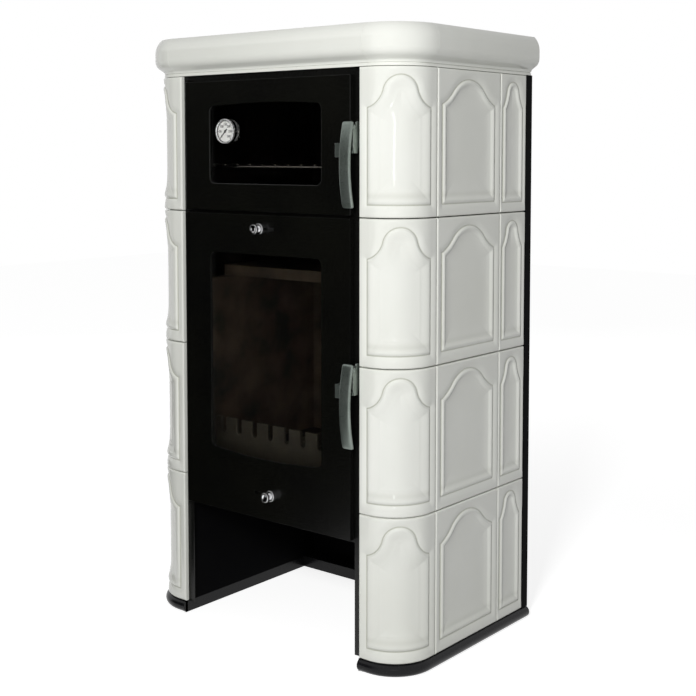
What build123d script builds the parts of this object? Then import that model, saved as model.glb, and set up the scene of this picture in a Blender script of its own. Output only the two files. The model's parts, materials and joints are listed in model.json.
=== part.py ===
"""Tiled wood stove with an oven: two glazed tile pillars, a steel front with two glazed doors,
a wood niche below, a bullnose plinth and a roll cornice.

Units are millimetres.  X runs to the viewer's right, Y from the front to the back, Z up.
The origin is on the floor, in the middle of the body's footprint.
"""
from build123d import *
from math import cos, hypot, radians, sin
import os

# ---------------------------------------------------------------- body and tiles
opening_width = 508.0       # clear width between the two tiled pillars
corner_leg = 112.0          # length of each leg of a corner tile, on the face
corner_radius = 90.0        # plan radius of the tiled face at the corner
full_tile_width = 233.0     # pitch of the full tiles on the sides
half_tile_width = 105.0     # pitch of the narrow tiles behind them
rear_strip = 22.0           # depth of the steel strip behind the last tile
tile_rows = 4
row_pitch = 299.0
tile_joint = 2.0
tile_thickness = 12.0
tile_edge = 2.5             # eased edge round each tile's face
relief_depth = 6.0          # depth of the arched panel
panel_margin = 24.0         # plain margin at the sides of a full or a corner panel
half_panel_margin = 15.0
panel_foot = 27.0           # plain margin below the panel
panel_head = 17.0           # plain margin above the panel's apex
seat_gap = 0.3              # clearance where a piece seats on a curved or a fired neighbour
overrun = 1.0               # how far a cut runs past the face it opens, or a weld into its piece

# rise of the panel's head, and its steepest and its foot slope in degrees
full_arch = (54.5, 46.0, 28.0)
corner_arch = (62.5, 77.5, 24.5)
half_arch = (57.0, 76.0, 64.0)

# ---------------------------------------------------------------- plinth and cornice
plinth_height = 26.0
plinth_ledge = 6.0
plinth_nose = 9.0           # bevel of its edges
plinth_depth = 54.0         # solid depth of its legs behind the tiled face
plinth_rear_bar = 60.0
cornice_height = 84.0
cornice_roll = 18.0         # how far the roll stands out from the tiled face
cornice_band = 7.0          # height of the plain band under the roll
cornice_inset = 3.0         # that band lies behind the tiled face
cornice_depth = 46.0
cornice_wall = 12.0
cornice_hollow = 5.0        # its hollow reaches this far in front of the tiled face
cornice_neck = 1.0          # lower edge of the roll outside the tiled face
cornice_neck_rise = 13.0    # slope from the band out to the roll
cornice_crown = 3.0         # upper edge of the roll outside the tiled face
cornice_joint = 1.0

# ---------------------------------------------------------------- sheet steel casing
casing_sheet = 2.0
frame_setback = 10.0        # front frame behind the tiled face
frame_sheet = 3.0
frame_stile = 18.0          # stile left beside the wood niche
niche_drop = 7.0            # niche's head below the firebox door
top_plate_sheet = 4.0
top_plate_drop = 8.0        # top plate below the cornice's top
vent_rows = 6
vent_pitch = 24.0
vent_length = 120.0
vent_height = 6.0
vent_top_drop = 120.0       # first vent row below the tiles' top

# ---------------------------------------------------------------- doors
door_side_gap = 18.0        # recess between a door and the pillar
oven_door_height = 280.0
door_gap = 6.5              # between the two doors
door_head_gap = 15.0        # above the oven door
fire_door_height = 653.5
door_proud = 5.0            # door face in front of the tiled face
door_plate = 6.0
door_rim = 13.0             # depth of the turned rim
door_rim_wall = 4.0
window_side = 76.0          # door's width beside its window
window_corner = 14.0
oven_window_head = 49.0     # door's height above its window
oven_window_rise = 6.0      # crown of its upper edge
oven_window_sill = 59.0     # above the door's lower edge
fire_window_head = 84.5
fire_window_sag = 9.0       # its lower edge bows down
fire_window_sill = 138.0
glass_thickness = 4.0
glass_lap = 12.0            # glass behind the window's edge
rope_width = 8.0
rope_inset = 12.0           # rope's centre line inside the door's edge
rope_corner = 16.0          # its corners are cut by this much
rope_gap = 0.4              # rope clear of the frame
clip_length = 30.0
clip_width = 20.0
clip_sheet = 1.5
clip_lap = 7.0              # clip over the glass
clip_inset = 30.0
glass_side_gap = 1.0

# ---------------------------------------------------------------- hinges
hinge_inset = 5.0           # hinge axis from the door's left edge and behind its face
hinge_pin = 5.0
hinge_depth = 12.0          # pin inside the door
hinge_lug = 5.0             # thickness of the lugs on the frame
hinge_clearance = 0.05
hinge_end_gap = 1.0         # pin's end clear of the bore's end
boss_size = 10.0
boss_wall = 2.0
boss_end_gap = 1.0          # bosses inside the door's ends
lug_gap = 0.75

# ---------------------------------------------------------------- handles
lever_width = 27.0
lever_thickness = 7.0
lever_length = 172.0
lever_bow = 11.0            # the middle stands this much further out than the ends
lever_standoff = 8.0        # lever's ends in front of the door's face
lever_overhang = 18.0       # lever's right edge outside the door's right edge
pivot_drop = 12.0           # pin below the lever's top
pin_diameter = 5.0
pin_head = 9.0
pin_head_height = 2.0
pivot_standoff = 5.0        # pin's axis in front of the door's face
cheek_radius = 5.0
cheek_thickness = 4.0
cheek_inset = 2.5           # cheeks inside the lever's edges
cheek_reach = 9.0           # right cheek behind the door's face
bridge_height = 6.0
cheek_drop = 51.0           # cheek below the pin
foot_width = 24.0
foot_height = 28.0
foot_depth = 15.0
foot_drop = 8.0             # foot's lower edge below the cheeks
foot_lap = 6.0              # foot reaches this far behind the lever's left edge
foot_edge = 2.0
hub_side_gap = 0.5
tongue_width = 7.0
tongue_height = 8.0
tongue_drop = 2.0           # tongue's upper edge below the pin
tongue_side_gap = 0.5
lever_corner = 3.0
oven_lever_top = 93.0       # lever's top below the oven door's upper edge
fire_lever_top = 290.0
tongue_gap = 4.0            # tongue's tip clear of the frame
keeper_gap = 0.5            # keeper over the tongue's hub
keeper_height = 5.0
keeper_reach = 10.0

# ---------------------------------------------------------------- air slides and thermometer
knob_flange = 23.0
knob_flange_thickness = 4.0
knob_disc = 20.0
knob_disc_thickness = 6.0
knob_neck = 12.0
knob_length = 20.0
slide_stem = 6.0
slide_travel = 52.0
slide_end_gap = 1.0         # stem clear of the slot's ends
slide_plate_width = 90.0
slide_plate_height = 18.0
slide_plate_thickness = 2.0
slide_gap = 0.4
guide_height = 3.0
guide_overrun = 3.0         # guides beyond the plate's travel at each end
upper_slide_drop = 29.5     # knob below the fire door's upper edge
lower_slide_rise = 54.0     # knob above its lower edge
upper_slide_rest = -11.0    # where the knobs stand at rest, from the door's middle
lower_slide_rest = 18.0
dial_diameter = 54.0
dial_depth = 9.0
dial_bezel = 3.0
dial_floor = 5.0            # thickness behind the dial's face
dial_from_left = 48.0       # dial's centre from the window's left edge
dial_from_head = 54.0       # dial's centre below the window's upper corner line
probe_diameter = 6.0
probe_length = 34.0         # behind the glass
probe_hole_gap = 0.5
nut_width = 12.0
nut_thickness = 5.0
stop_nut_width = 10.0
stop_nut_thickness = 3.0
stop_nut_gap = 8.0          # from the first nut to the stop nut
needle_length = 20.0
needle_tail = 7.0
needle_width = 2.4
needle_tip_width = 1.0
needle_tail_width = 3.4
needle_hub = 6.0
needle_pivot = 3.0
needle_thickness = 0.8
needle_lift = 0.6
needle_rest = -135.0        # degrees to the right of upright, at the start of its scale

# ---------------------------------------------------------------- firebox and oven
shell_sheet = 4.0
shell_side_gap = 20.0       # air gap between the firebox and the casing
shell_rear_gap = 30.0
shell_top_gap = 10.0
mouth_margin = 30.0         # mouth beyond the window's sides
mouth_lap = 30.0            # mouth inside the door's upper and lower edges
hearth_rise = 79.0          # hearth plate's top above the firebox's foot
hearth_sheet = 6.0
brick_thickness = 30.0
brick_height = 400.0
baffle_thickness = 25.0
baffle_gap = 90.0           # smoke path in front of the baffle
grate_size = 220.0
grate_rim = 12.0            # grate's edge over the hearth plate
grate_thickness = 10.0
grate_slots = 9
grate_slot = 9.0
ash_pan_width = 300.0
ash_pan_depth = 300.0
ash_pan_height = 55.0
ash_pan_wall = 1.5
guard_height = 88.0
guard_thickness = 8.0
guard_setback = 27.0        # guard behind the front frame
guard_side_gap = 2.0        # guard's ends inside the mouth
guard_slot = 14.0
guard_slot_depth = 34.0
guard_slot_bevel = 4.2      # cut off the slot's lower corners
guard_slots = 8
oven_sheet = 3.0
oven_floor_rise = 26.0      # oven floor above the door's lower edge
oven_roof_drop = 24.0
oven_rear_gap = 39.0        # smoke path behind the oven
rack_bar = 5.0
rack_bars = 11
rack_height = 62.0
rack_side_gap = 2.0
rail_width = 12.0
rail_thickness = 3.0
rail_end_gap = 10.0         # rails start behind the oven's mouth
rail_back_gap = 30.0
flue_diameter = 149.0
flue_wall = 2.0
flue_rise = 30.0            # collar above the cornice's top
flue_from_rear = 150.0

# ---------------------------------------------------------------- worked out from the above
body_width = opening_width + 2 * corner_leg
body_depth = corner_leg + full_tile_width + half_tile_width + rear_strip
half_opening = opening_width / 2
face_x = body_width / 2
face_y = -body_depth / 2
rear_y = body_depth / 2
arc_x = face_x - corner_radius
arc_y = face_y + corner_radius
tile_end_y = rear_y - rear_strip
tile_height = row_pitch - tile_joint
tiles_top = plinth_height + tile_rows * row_pitch
top_z = tiles_top + cornice_height

frame_front = face_y + frame_setback
frame_back = frame_front + frame_sheet
door_front = face_y - door_proud
door_back = door_front + door_plate
door_width = opening_width - 2 * door_side_gap
half_door = door_width / 2
window_width = door_width - 2 * window_side
mouth_width = window_width + 2 * mouth_margin
oven_door_head = tiles_top - door_head_gap
oven_door_foot = oven_door_head - oven_door_height
fire_door_head = oven_door_foot - door_gap
fire_door_foot = fire_door_head - fire_door_height
oven_window_height = oven_door_height - oven_window_sill - oven_window_rise - oven_window_head
fire_window_height = fire_door_height - fire_window_sill - fire_window_head
hinge_x = -half_door + hinge_inset
hinge_y = door_front + hinge_inset
rope_back = frame_front - rope_gap
glass_front = door_back
glass_back = glass_front + glass_thickness

lever_x = half_door + lever_overhang - lever_width / 2
left_cheek_x = lever_x - lever_width / 2 + cheek_inset
right_cheek_x = lever_x + lever_width / 2 - cheek_inset - cheek_thickness
pivot_y = door_front - pivot_standoff
tongue_x = half_door + tongue_side_gap + tongue_width / 2
tongue_tip_y = frame_front - tongue_gap
keeper_y = frame_front - keeper_reach
oven_pivot_z = oven_door_head - oven_lever_top - pivot_drop
fire_pivot_z = fire_door_head - fire_lever_top - pivot_drop
upper_slide_z = fire_door_head - upper_slide_drop
lower_slide_z = fire_door_foot + lower_slide_rise

shell_half = half_opening - casing_sheet - shell_side_gap
shell_rear = tile_end_y - shell_rear_gap
shell_top = tiles_top - shell_top_gap
oven_depth = shell_rear - frame_back - 2 * shell_sheet - oven_rear_gap
shell_foot = fire_door_foot + mouth_lap - shell_sheet
hearth_height = shell_foot + hearth_rise
niche_head = fire_door_foot - niche_drop
grate_y = (frame_back + shell_rear) / 2
flue_y = rear_y - flue_from_rear
flue_top = top_z + flue_rise

nodes = {}


def box(x0, x1, y0, y1, z0, z1):
    """A block between two limits along each axis."""
    return Pos((x0 + x1) / 2, (y0 + y1) / 2, (z0 + z1) / 2) * Box(x1 - x0, y1 - y0, z1 - z0)


def left_of(part):
    """The same piece on the stove's left-hand side."""
    return mirror(part, about=Plane.YZ)


def rod_x(x0, x1, y, z, diameter):
    """A round rod along X."""
    return Pos((x0 + x1) / 2, y, z) * Rot(0, 90, 0) * Cylinder(diameter / 2, x1 - x0)


def rod_y(x, y0, y1, z, diameter):
    """A round rod along Y."""
    return Pos(x, (y0 + y1) / 2, z) * Rot(90, 0, 0) * Cylinder(diameter / 2, y1 - y0)


def rod_z(x, y, z0, z1, diameter):
    """A round rod along Z."""
    return Pos(x, y, (z0 + z1) / 2) * Cylinder(diameter / 2, z1 - z0)


def front_plane(y):
    """Drawing plane that faces the viewer: X to the right, Z up."""
    return Plane(origin=(0, y, 0), x_dir=(1, 0, 0), z_dir=(0, -1, 0))


def turned(x, z, points):
    """A piece turned about an axis along Y, from its half section as (radius, y) points."""
    plane = Plane(origin=(x, 0, z), x_dir=(1, 0, 0), z_dir=(0, 0, 1))
    section = make_face(Polyline(*points, close=True))
    return revolve(plane * section, Axis((x, 0, z), (0, 1, 0)))


# ================================================================ tiles
def corner_band(outer, inner, start_x, end_y):
    """Plan face of a wall that follows the right-hand corner, between two depths behind the tiles."""
    r_out = corner_radius - outer
    r_in = corner_radius - inner
    edges = [
        Line((start_x, face_y + outer), (arc_x, face_y + outer)),
        CenterArc((arc_x, arc_y), r_out, -90, 90),
        Line((face_x - outer, arc_y), (face_x - outer, end_y)),
        Line((face_x - outer, end_y), (face_x - inner, end_y)),
        Line((face_x - inner, end_y), (face_x - inner, arc_y)),
        CenterArc((arc_x, arc_y), r_in, -90, 90),
        Line((arc_x, face_y + inner), (start_x, face_y + inner)),
        Line((start_x, face_y + inner), (start_x, face_y + outer)),
    ]
    return make_face(edges)


def arch_face(half_width, foot, head, arch):
    """Arched panel outline in a plane with its middle on the local Y axis.

    Each side of the head is a hollow arc that meets a round one at the steepest slope.  The two
    radii follow from the rise and the half width.
    """
    rise, top_slope, foot_slope = arch
    steep = radians(top_slope)
    shallow = radians(foot_slope)
    a11 = sin(steep) - sin(shallow)
    a12 = sin(steep)
    a21 = cos(shallow) - cos(steep)
    a22 = 1 - cos(steep)
    det = a11 * a22 - a12 * a21
    hollow = (half_width * a22 - a12 * rise) / det
    round_top = (a11 * rise - a21 * half_width) / det
    shoulder = head - rise
    meet_x = round_top * sin(steep)
    meet_y = head - round_top * (1 - cos(steep))
    hollow_x = meet_x + hollow * sin(steep)
    hollow_y = meet_y + hollow * cos(steep)
    mid = (steep + shallow) / 2
    mid_x = hollow_x - hollow * sin(mid)
    mid_y = hollow_y - hollow * cos(mid)
    edges = [
        Line((-half_width, shoulder), (-half_width, foot)),
        Line((-half_width, foot), (half_width, foot)),
        Line((half_width, foot), (half_width, shoulder)),
        ThreePointArc((half_width, shoulder), (mid_x, mid_y), (meet_x, meet_y)),
        ThreePointArc((meet_x, meet_y), (0, head), (-meet_x, meet_y)),
        ThreePointArc((-meet_x, meet_y), (-mid_x, mid_y), (-half_width, shoulder)),
    ]
    return make_face(edges)


def flat_tile(width, margin, arch):
    """A flat tile in its own frame: face towards +Z, middle of its lower edge at the origin."""
    face_width = width - tile_joint
    slab = Pos(0, tile_height / 2, -tile_thickness / 2) * Box(face_width, tile_height, tile_thickness)
    front = slab.faces().sort_by(Axis.Z)[-1]
    slab = chamfer(front.edges(), tile_edge)
    half_width = face_width / 2 - margin
    panel = arch_face(half_width, panel_foot, tile_height - panel_head, arch)
    return slab - extrude(panel, -relief_depth)


def is_outer_end(edge):
    """Whether an upright edge bounds the tiled face of a corner tile at one of its two ends."""
    point = edge @ 0.5
    on_face = min(abs(point.X - face_x), abs(point.Y - face_y)) < 0.01
    return on_face and abs(point.X - arc_x) > 1 and abs(point.Y - arc_y) > 1


def corner_tile():
    """The right-hand corner tile, standing on the floor plane, with its panel cut along the diagonal."""
    end_y = face_y + corner_leg - tile_joint / 2
    shell = extrude(corner_band(0, tile_thickness, half_opening, end_y), tile_height)
    uprights = shell.edges().filter_by(Axis.Z).filter_by(is_outer_end)
    shell = chamfer(uprights, tile_edge)
    half_width = (corner_leg - panel_margin) / 2 ** 0.5
    view = Plane(origin=(arc_x, arc_y, 0), x_dir=(1, 1, 0), z_dir=(1, -1, 0))
    panel = arch_face(half_width, panel_foot, tile_height - panel_head, corner_arch)
    reach = extrude(view * panel, corner_radius * 2)
    skin = extrude(corner_band(-tile_edge, relief_depth, half_opening, end_y), tile_height)
    return shell - (skin & reach)


def side_tile(tile, middle_y, foot_z):
    """A flat tile set on the right-hand side."""
    return Plane(origin=(face_x, middle_y, foot_z), x_dir=(0, 1, 0), z_dir=(1, 0, 0)) * tile


def add_tiles():
    """Four rows of a corner, a full and a narrow tile in each pillar."""
    corner = corner_tile()
    full = flat_tile(full_tile_width, panel_margin, full_arch)
    half = flat_tile(half_tile_width, half_panel_margin, half_arch)
    full_y = face_y + corner_leg + full_tile_width / 2
    half_y = full_y + full_tile_width / 2 + half_tile_width / 2
    columns = {"corner_tiles": [], "side_tiles": [], "narrow_tiles": []}
    for row in range(tile_rows):
        foot_z = plinth_height + row * row_pitch + tile_joint / 2
        columns["corner_tiles"].append(Pos(0, 0, foot_z) * corner)
        columns["side_tiles"].append(side_tile(full, full_y, foot_z))
        columns["narrow_tiles"].append(side_tile(half, half_y, foot_z))
    for name, tiles in columns.items():
        nodes[f"{name}_right"] = Compound(children=tiles)
        nodes[f"{name}_left"] = Compound(children=[left_of(tile) for tile in tiles])


# ================================================================ runs round the body
def along_front(profile, x0, x1, z):
    """A profile drawn outwards and up from the tiled face, run along the front."""
    plane = Plane(origin=(x1, face_y, z), x_dir=(0, -1, 0), z_dir=(-1, 0, 0))
    return extrude(plane * profile, x1 - x0)


def along_side(profile, y0, y1, z):
    """The same profile run along the right-hand side."""
    plane = Plane(origin=(face_x, y1, z), x_dir=(1, 0, 0), z_dir=(0, -1, 0))
    return extrude(plane * profile, y1 - y0)


def round_corner(profile, z):
    """The same profile turned round the right-hand corner."""
    plane = Plane(origin=(face_x, arc_y, z), x_dir=(1, 0, 0), z_dir=(0, -1, 0))
    return revolve(plane * profile, Axis((arc_x, arc_y, 0), (0, 0, 1)), -90)


def plinth_profile():
    """Section of the plinth, with both edges of its nose bevelled."""
    nose = plinth_ledge - plinth_nose
    outline = Polyline(
        (-plinth_depth, 0), (nose, 0), (plinth_ledge, plinth_nose), (plinth_ledge, plinth_height - plinth_nose),
        (nose, plinth_height), (-plinth_depth, plinth_height), close=True,
    )
    return make_face(outline)


def add_plinth():
    """U-shaped foot under the pillars and the back, open in front under the wood niche."""
    profile = plinth_profile()
    leg = along_front(profile, half_opening, arc_x, 0)
    leg += round_corner(profile, 0)
    leg += along_side(profile, arc_y, rear_y, 0)
    leg += box(half_opening, face_x - plinth_depth, face_y + plinth_depth, rear_y, 0, plinth_height)
    leg += box(half_opening, arc_x, arc_y - plinth_depth, arc_y, 0, plinth_height)
    bar = box(-half_opening, half_opening, rear_y - plinth_rear_bar, rear_y, 0, plinth_height)
    nodes["plinth"] = leg + left_of(leg) + bar


def cornice_profile():
    """Section of the cornice: plain band, roll and flat top, hollow and open at the back."""
    neck_z = cornice_band + cornice_neck_rise
    belly_z = (neck_z + cornice_height) / 2
    edges = [
        Line((-cornice_depth, 0), (-cornice_inset, 0)),
        Line((-cornice_inset, 0), (-cornice_inset, cornice_band)),
        Line((-cornice_inset, cornice_band), (cornice_neck, neck_z)),
        ThreePointArc((cornice_neck, neck_z), (cornice_roll, belly_z), (cornice_crown, cornice_height)),
        Line((cornice_crown, cornice_height), (-cornice_depth, cornice_height)),
        Line((-cornice_depth, cornice_height), (-cornice_depth, 0)),
    ]
    hollow_foot = neck_z + cornice_wall
    hollow_head = cornice_height - cornice_wall
    hollow_width = cornice_depth + cornice_hollow
    hollow = Pos(cornice_hollow - hollow_width / 2, (hollow_foot + hollow_head) / 2) * Rectangle(
        hollow_width, hollow_head - hollow_foot
    )
    return make_face(edges) - hollow


def add_cornice():
    """Five glazed lengths: the front, two corners and two sides."""
    profile = cornice_profile()
    front_end = arc_x - cornice_joint
    side_end = arc_y + cornice_joint
    side = along_side(profile, side_end, rear_y, tiles_top)
    corner = round_corner(profile, tiles_top)
    front = along_front(profile, -front_end, front_end, tiles_top)
    nodes["cornice"] = Compound(children=[front, corner, left_of(corner), side, left_of(side)])


# ================================================================ casing
def add_casing():
    """Folded side casings behind the tiles, the back, the top and the niche's lining."""
    height = tiles_top - plinth_height
    skin_in = tile_thickness + seat_gap
    skin_back = skin_in + casing_sheet
    skin = extrude(corner_band(skin_in, skin_back, half_opening, tile_end_y), height)
    inner_x = half_opening - casing_sheet
    inner = box(inner_x, half_opening, frame_back, tile_end_y, 0, height)
    step = box(inner_x, half_opening + overrun, frame_back, face_y + skin_back, 0, height)
    side = Pos(0, 0, plinth_height) * (skin + inner + step)
    nodes["side_casing_right"] = side
    nodes["side_casing_left"] = left_of(side)

    back = box(-face_x, face_x, tile_end_y, rear_y, plinth_height, tiles_top)
    back -= box(
        -face_x + casing_sheet, face_x - casing_sheet, tile_end_y - overrun, rear_y - casing_sheet,
        plinth_height - overrun, tiles_top + overrun,
    )
    for row in range(vent_rows):
        z = tiles_top - vent_top_drop - row * vent_pitch
        for x in (-vent_length, vent_length):
            back -= box(
                x - vent_length / 2, x + vent_length / 2, rear_y - 2 * casing_sheet, rear_y + overrun,
                z - vent_height / 2, z + vent_height / 2,
            )
    nodes["rear_panel"] = back

    lining_side = half_opening - casing_sheet - seat_gap
    lining = box(-lining_side, lining_side, frame_back, tile_end_y, shell_foot - casing_sheet, shell_foot)
    lining += box(
        -lining_side, lining_side, tile_end_y - casing_sheet, tile_end_y, plinth_height, shell_foot
    )
    nodes["niche_lining"] = lining


def add_top():
    """Steel top inside the cornice, with an apron round it and the flue collar welded through it."""
    plate_top = top_z - top_plate_drop
    inset = cornice_depth + seat_gap
    edges = [
        Line((-arc_x, face_y + inset), (arc_x, face_y + inset)),
        CenterArc((arc_x, arc_y), corner_radius - inset, -90, 90),
        Line((face_x - inset, arc_y), (face_x - inset, rear_y)),
        Line((face_x - inset, rear_y), (-face_x + inset, rear_y)),
        Line((-face_x + inset, rear_y), (-face_x + inset, arc_y)),
        CenterArc((-arc_x, arc_y), corner_radius - inset, 180, 90),
    ]
    outline = make_face(edges)
    apron = outline - offset(outline, amount=-casing_sheet, kind=Kind.INTERSECTION)
    plate = Pos(0, 0, plate_top - top_plate_sheet) * extrude(outline, top_plate_sheet)
    plate += Pos(0, 0, tiles_top) * extrude(apron, plate_top - tiles_top)
    collar = rod_z(0, flue_y, shell_top, flue_top, flue_diameter)
    bore = rod_z(0, flue_y, shell_top - overrun, flue_top + overrun, flue_diameter - 2 * flue_wall)
    nodes["top_plate"] = plate + collar - bore


def add_front_frame():
    """Steel front between the pillars, with the two mouths, the niche and the hinges, and the keepers."""
    side = half_opening - seat_gap
    frame = box(-side, side, frame_front, frame_back, plinth_height, tiles_top)
    niche_side = half_opening - frame_stile
    cut_front = frame_front - overrun
    cut_back = frame_back + overrun
    frame -= box(-niche_side, niche_side, cut_front, cut_back, plinth_height - overrun, niche_head)
    for foot, head in mouths():
        frame -= box(-mouth_width / 2, mouth_width / 2, cut_front, cut_back, foot, head)
    lug_x = hinge_x - boss_size / 2
    below, between, above = hinge_lug_levels()
    for z in (below, between, above):
        frame += box(
            lug_x, lug_x + boss_size, hinge_y - hinge_inset, frame_front,
            z - hinge_lug / 2, z + hinge_lug / 2,
        )
    reach = hinge_depth - hinge_end_gap
    frame += rod_z(hinge_x, hinge_y, below, fire_door_foot + reach, hinge_pin)
    frame += rod_z(hinge_x, hinge_y, fire_door_head - reach, oven_door_foot + reach, hinge_pin)
    frame += rod_z(hinge_x, hinge_y, oven_door_head - reach, above, hinge_pin)
    nodes["front_frame"] = frame
    nodes["latch_keepers"] = Compound(children=[keeper(oven_pivot_z), keeper(fire_pivot_z)])


def mouths():
    """Lower and upper limits of the firebox's and the oven's mouth."""
    fire = (fire_door_foot + mouth_lap, fire_door_head - mouth_lap)
    oven = (oven_door_foot + mouth_lap, oven_door_head - mouth_lap)
    return (fire, oven)


def hinge_lug_levels():
    """Middle heights of the lugs: under the lower door, between the doors and over the upper one."""
    below = fire_door_foot - lug_gap - hinge_lug / 2
    between = (fire_door_head + oven_door_foot) / 2
    above = oven_door_head + lug_gap + hinge_lug / 2
    return (below, between, above)


def keeper(pivot_z):
    """Catch plate on the frame, over the handle's tongue."""
    foot = pivot_z + keeper_gap
    half = tongue_width / 2
    return box(tongue_x - half, tongue_x + half, keeper_y, frame_front, foot, foot + keeper_height)


# ================================================================ firebox and oven
def add_firebox():
    """Welded firebox and smoke box, with the ash space below and the oven hung in its upper part."""
    half = shell_half
    front = frame_back
    rear = shell_rear
    foot = shell_foot
    shell = box(-half, half, front, rear, foot, shell_top)
    inner_half = half - shell_sheet
    shell -= box(
        -inner_half, inner_half, front + shell_sheet, rear - shell_sheet,
        foot + shell_sheet, shell_top - shell_sheet,
    )
    for mouth_foot, mouth_head in mouths():
        shell -= box(
            -mouth_width / 2, mouth_width / 2, front - overrun, front + 2 * shell_sheet, mouth_foot, mouth_head
        )
    bore = flue_diameter - 2 * flue_wall
    shell -= rod_z(0, flue_y, shell_top - 2 * shell_sheet, shell_top + overrun, bore)
    hearth = box(
        -inner_half, inner_half, front + shell_sheet, rear - shell_sheet,
        hearth_height - hearth_sheet, hearth_height,
    )
    hearth -= box(
        -grate_size / 2, grate_size / 2, grate_y - grate_size / 2, grate_y + grate_size / 2,
        hearth_height - 2 * hearth_sheet, hearth_height + overrun,
    )
    nodes["firebox_shell"] = shell + hearth

    brick_foot = hearth_height
    brick_head = brick_foot + brick_height
    front_face = front + shell_sheet
    rear_face = rear - shell_sheet
    side_brick = box(
        inner_half - brick_thickness, inner_half - seat_gap, front_face + seat_gap, rear_face - seat_gap,
        brick_foot, brick_head,
    )
    nodes["side_brick_right"] = side_brick
    nodes["side_brick_left"] = left_of(side_brick)
    back_half = inner_half - brick_thickness - seat_gap
    nodes["rear_brick"] = box(
        -back_half, back_half, rear_face - brick_thickness, rear_face - seat_gap, brick_foot, brick_head
    )
    nodes["baffle"] = box(
        -inner_half + seat_gap, inner_half - seat_gap, front_face + baffle_gap, rear_face - seat_gap,
        brick_head, brick_head + baffle_thickness,
    )

    grate_half = grate_size / 2 + grate_rim
    grate = box(
        -grate_half, grate_half, grate_y - grate_half, grate_y + grate_half,
        hearth_height, hearth_height + grate_thickness,
    )
    pitch = grate_size / grate_slots
    for index in range(grate_slots):
        x = (index - (grate_slots - 1) / 2) * pitch
        grate -= box(
            x - grate_slot / 2, x + grate_slot / 2, grate_y - grate_size / 2, grate_y + grate_size / 2,
            hearth_height - overrun, hearth_height + grate_thickness + overrun,
        )
    nodes["grate"] = grate

    pan_front = front_face + shell_sheet
    pan_foot = foot + shell_sheet
    pan = box(
        -ash_pan_width / 2, ash_pan_width / 2, pan_front, pan_front + ash_pan_depth,
        pan_foot, pan_foot + ash_pan_height,
    )
    pan -= box(
        -ash_pan_width / 2 + ash_pan_wall, ash_pan_width / 2 - ash_pan_wall, pan_front + ash_pan_wall,
        pan_front + ash_pan_depth - ash_pan_wall, pan_foot + ash_pan_wall, pan_foot + ash_pan_height + overrun,
    )
    nodes["ash_pan"] = pan


def add_log_guard():
    """Cast comb that keeps the logs off the glass, with open slots along its upper edge."""
    width = mouth_width - 2 * guard_side_gap
    pitch = width / guard_slots
    y0 = frame_back + guard_setback
    head = hearth_height + guard_height
    guard = box(-width / 2, width / 2, y0, y0 + guard_thickness, hearth_height, head)
    slot = Rectangle(guard_slot, 2 * guard_slot_depth)
    slot = chamfer(slot.vertices(), guard_slot_bevel)
    cutter = extrude(front_plane(y0 - overrun) * (Pos(0, head) * slot), -guard_thickness - 2 * overrun)
    for index in range(guard_slots):
        guard -= Pos((index - (guard_slots - 1) / 2) * pitch, 0, 0) * cutter
    nodes["log_guard"] = guard


def add_oven():
    """Oven box behind its mouth in the smoke box, with two rails and a barred rack on them."""
    half = mouth_width / 2
    front = frame_back + shell_sheet
    foot, head = mouths()[1]
    outer = box(
        -half - oven_sheet, half + oven_sheet, front, front + oven_depth, foot - oven_sheet, head + oven_sheet
    )
    outer -= box(-half, half, front - overrun, front + oven_depth - oven_sheet, foot, head)
    rail_z = foot + rack_height
    for sign in (-1, 1):
        x0, x1 = sorted((sign * half, sign * (half - rail_width)))
        outer += box(
            x0, x1, front + rail_end_gap, front + oven_depth - rail_back_gap, rail_z - rail_thickness, rail_z
        )
    nodes["oven_box"] = outer

    side = half - rack_side_gap
    rack_front = front + rail_end_gap + rack_bar
    rack_back = front + oven_depth - rail_back_gap - rack_bar
    bar_z = rail_z + rack_bar
    rack = box(-side, side, rack_front, rack_front + rack_bar, rail_z, bar_z)
    rack += box(-side, side, rack_back - rack_bar, rack_back, rail_z, bar_z)
    pitch = (2 * side - rack_bar) / (rack_bars - 1)
    for index in range(rack_bars):
        x = -side + index * pitch
        rack += box(x, x + rack_bar, rack_front, rack_back, bar_z, bar_z + rack_bar)
    nodes["oven_rack"] = rack


# ================================================================ doors
def window_face(foot, head, rise=0.0, sag=0.0):
    """Window outline: upright sides, with a crowned upper edge or a bowed lower edge."""
    half = window_width / 2
    top = Line((half, head - rise), (-half, head - rise))
    if rise:
        top = ThreePointArc((half, head - rise), (0, head), (-half, head - rise))
    bottom = Line((-half, foot + sag), (half, foot + sag))
    if sag:
        bottom = ThreePointArc((-half, foot + sag), (0, foot), (half, foot + sag))
    edges = [
        top,
        Line((-half, head - rise), (-half, foot + sag)),
        bottom,
        Line((half, foot + sag), (half, head - rise)),
    ]
    face = make_face(edges)
    return fillet(face.vertices(), window_corner)


def door_panel(foot, height, window):
    """Pressed door with a turned rim, hinge bosses on the left and the window's opening."""
    middle = foot + height / 2
    outline = Pos(0, middle) * Rectangle(door_width, height)
    inside = Pos(0, middle) * Rectangle(door_width - 2 * door_rim_wall, height - 2 * door_rim_wall)
    door = extrude(front_plane(door_front) * outline, -door_rim)
    door -= extrude(front_plane(door_back) * inside, -door_rim)
    boss_height = hinge_depth + boss_wall
    for boss_foot in (foot + boss_end_gap, foot + height - boss_end_gap - boss_height):
        door += box(
            -half_door + door_rim_wall, hinge_x + boss_size / 2, door_back, hinge_y + boss_size / 2,
            boss_foot, boss_foot + boss_height,
        )
    door -= extrude(front_plane(door_front) * window, -door_rim)
    for end, sign in ((foot, 1), (foot + height, -1)):
        z0, z1 = sorted((end - sign * overrun, end + sign * hinge_depth))
        door -= rod_z(hinge_x, hinge_y, z0, z1, hinge_pin + 2 * hinge_clearance)
    return door


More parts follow.
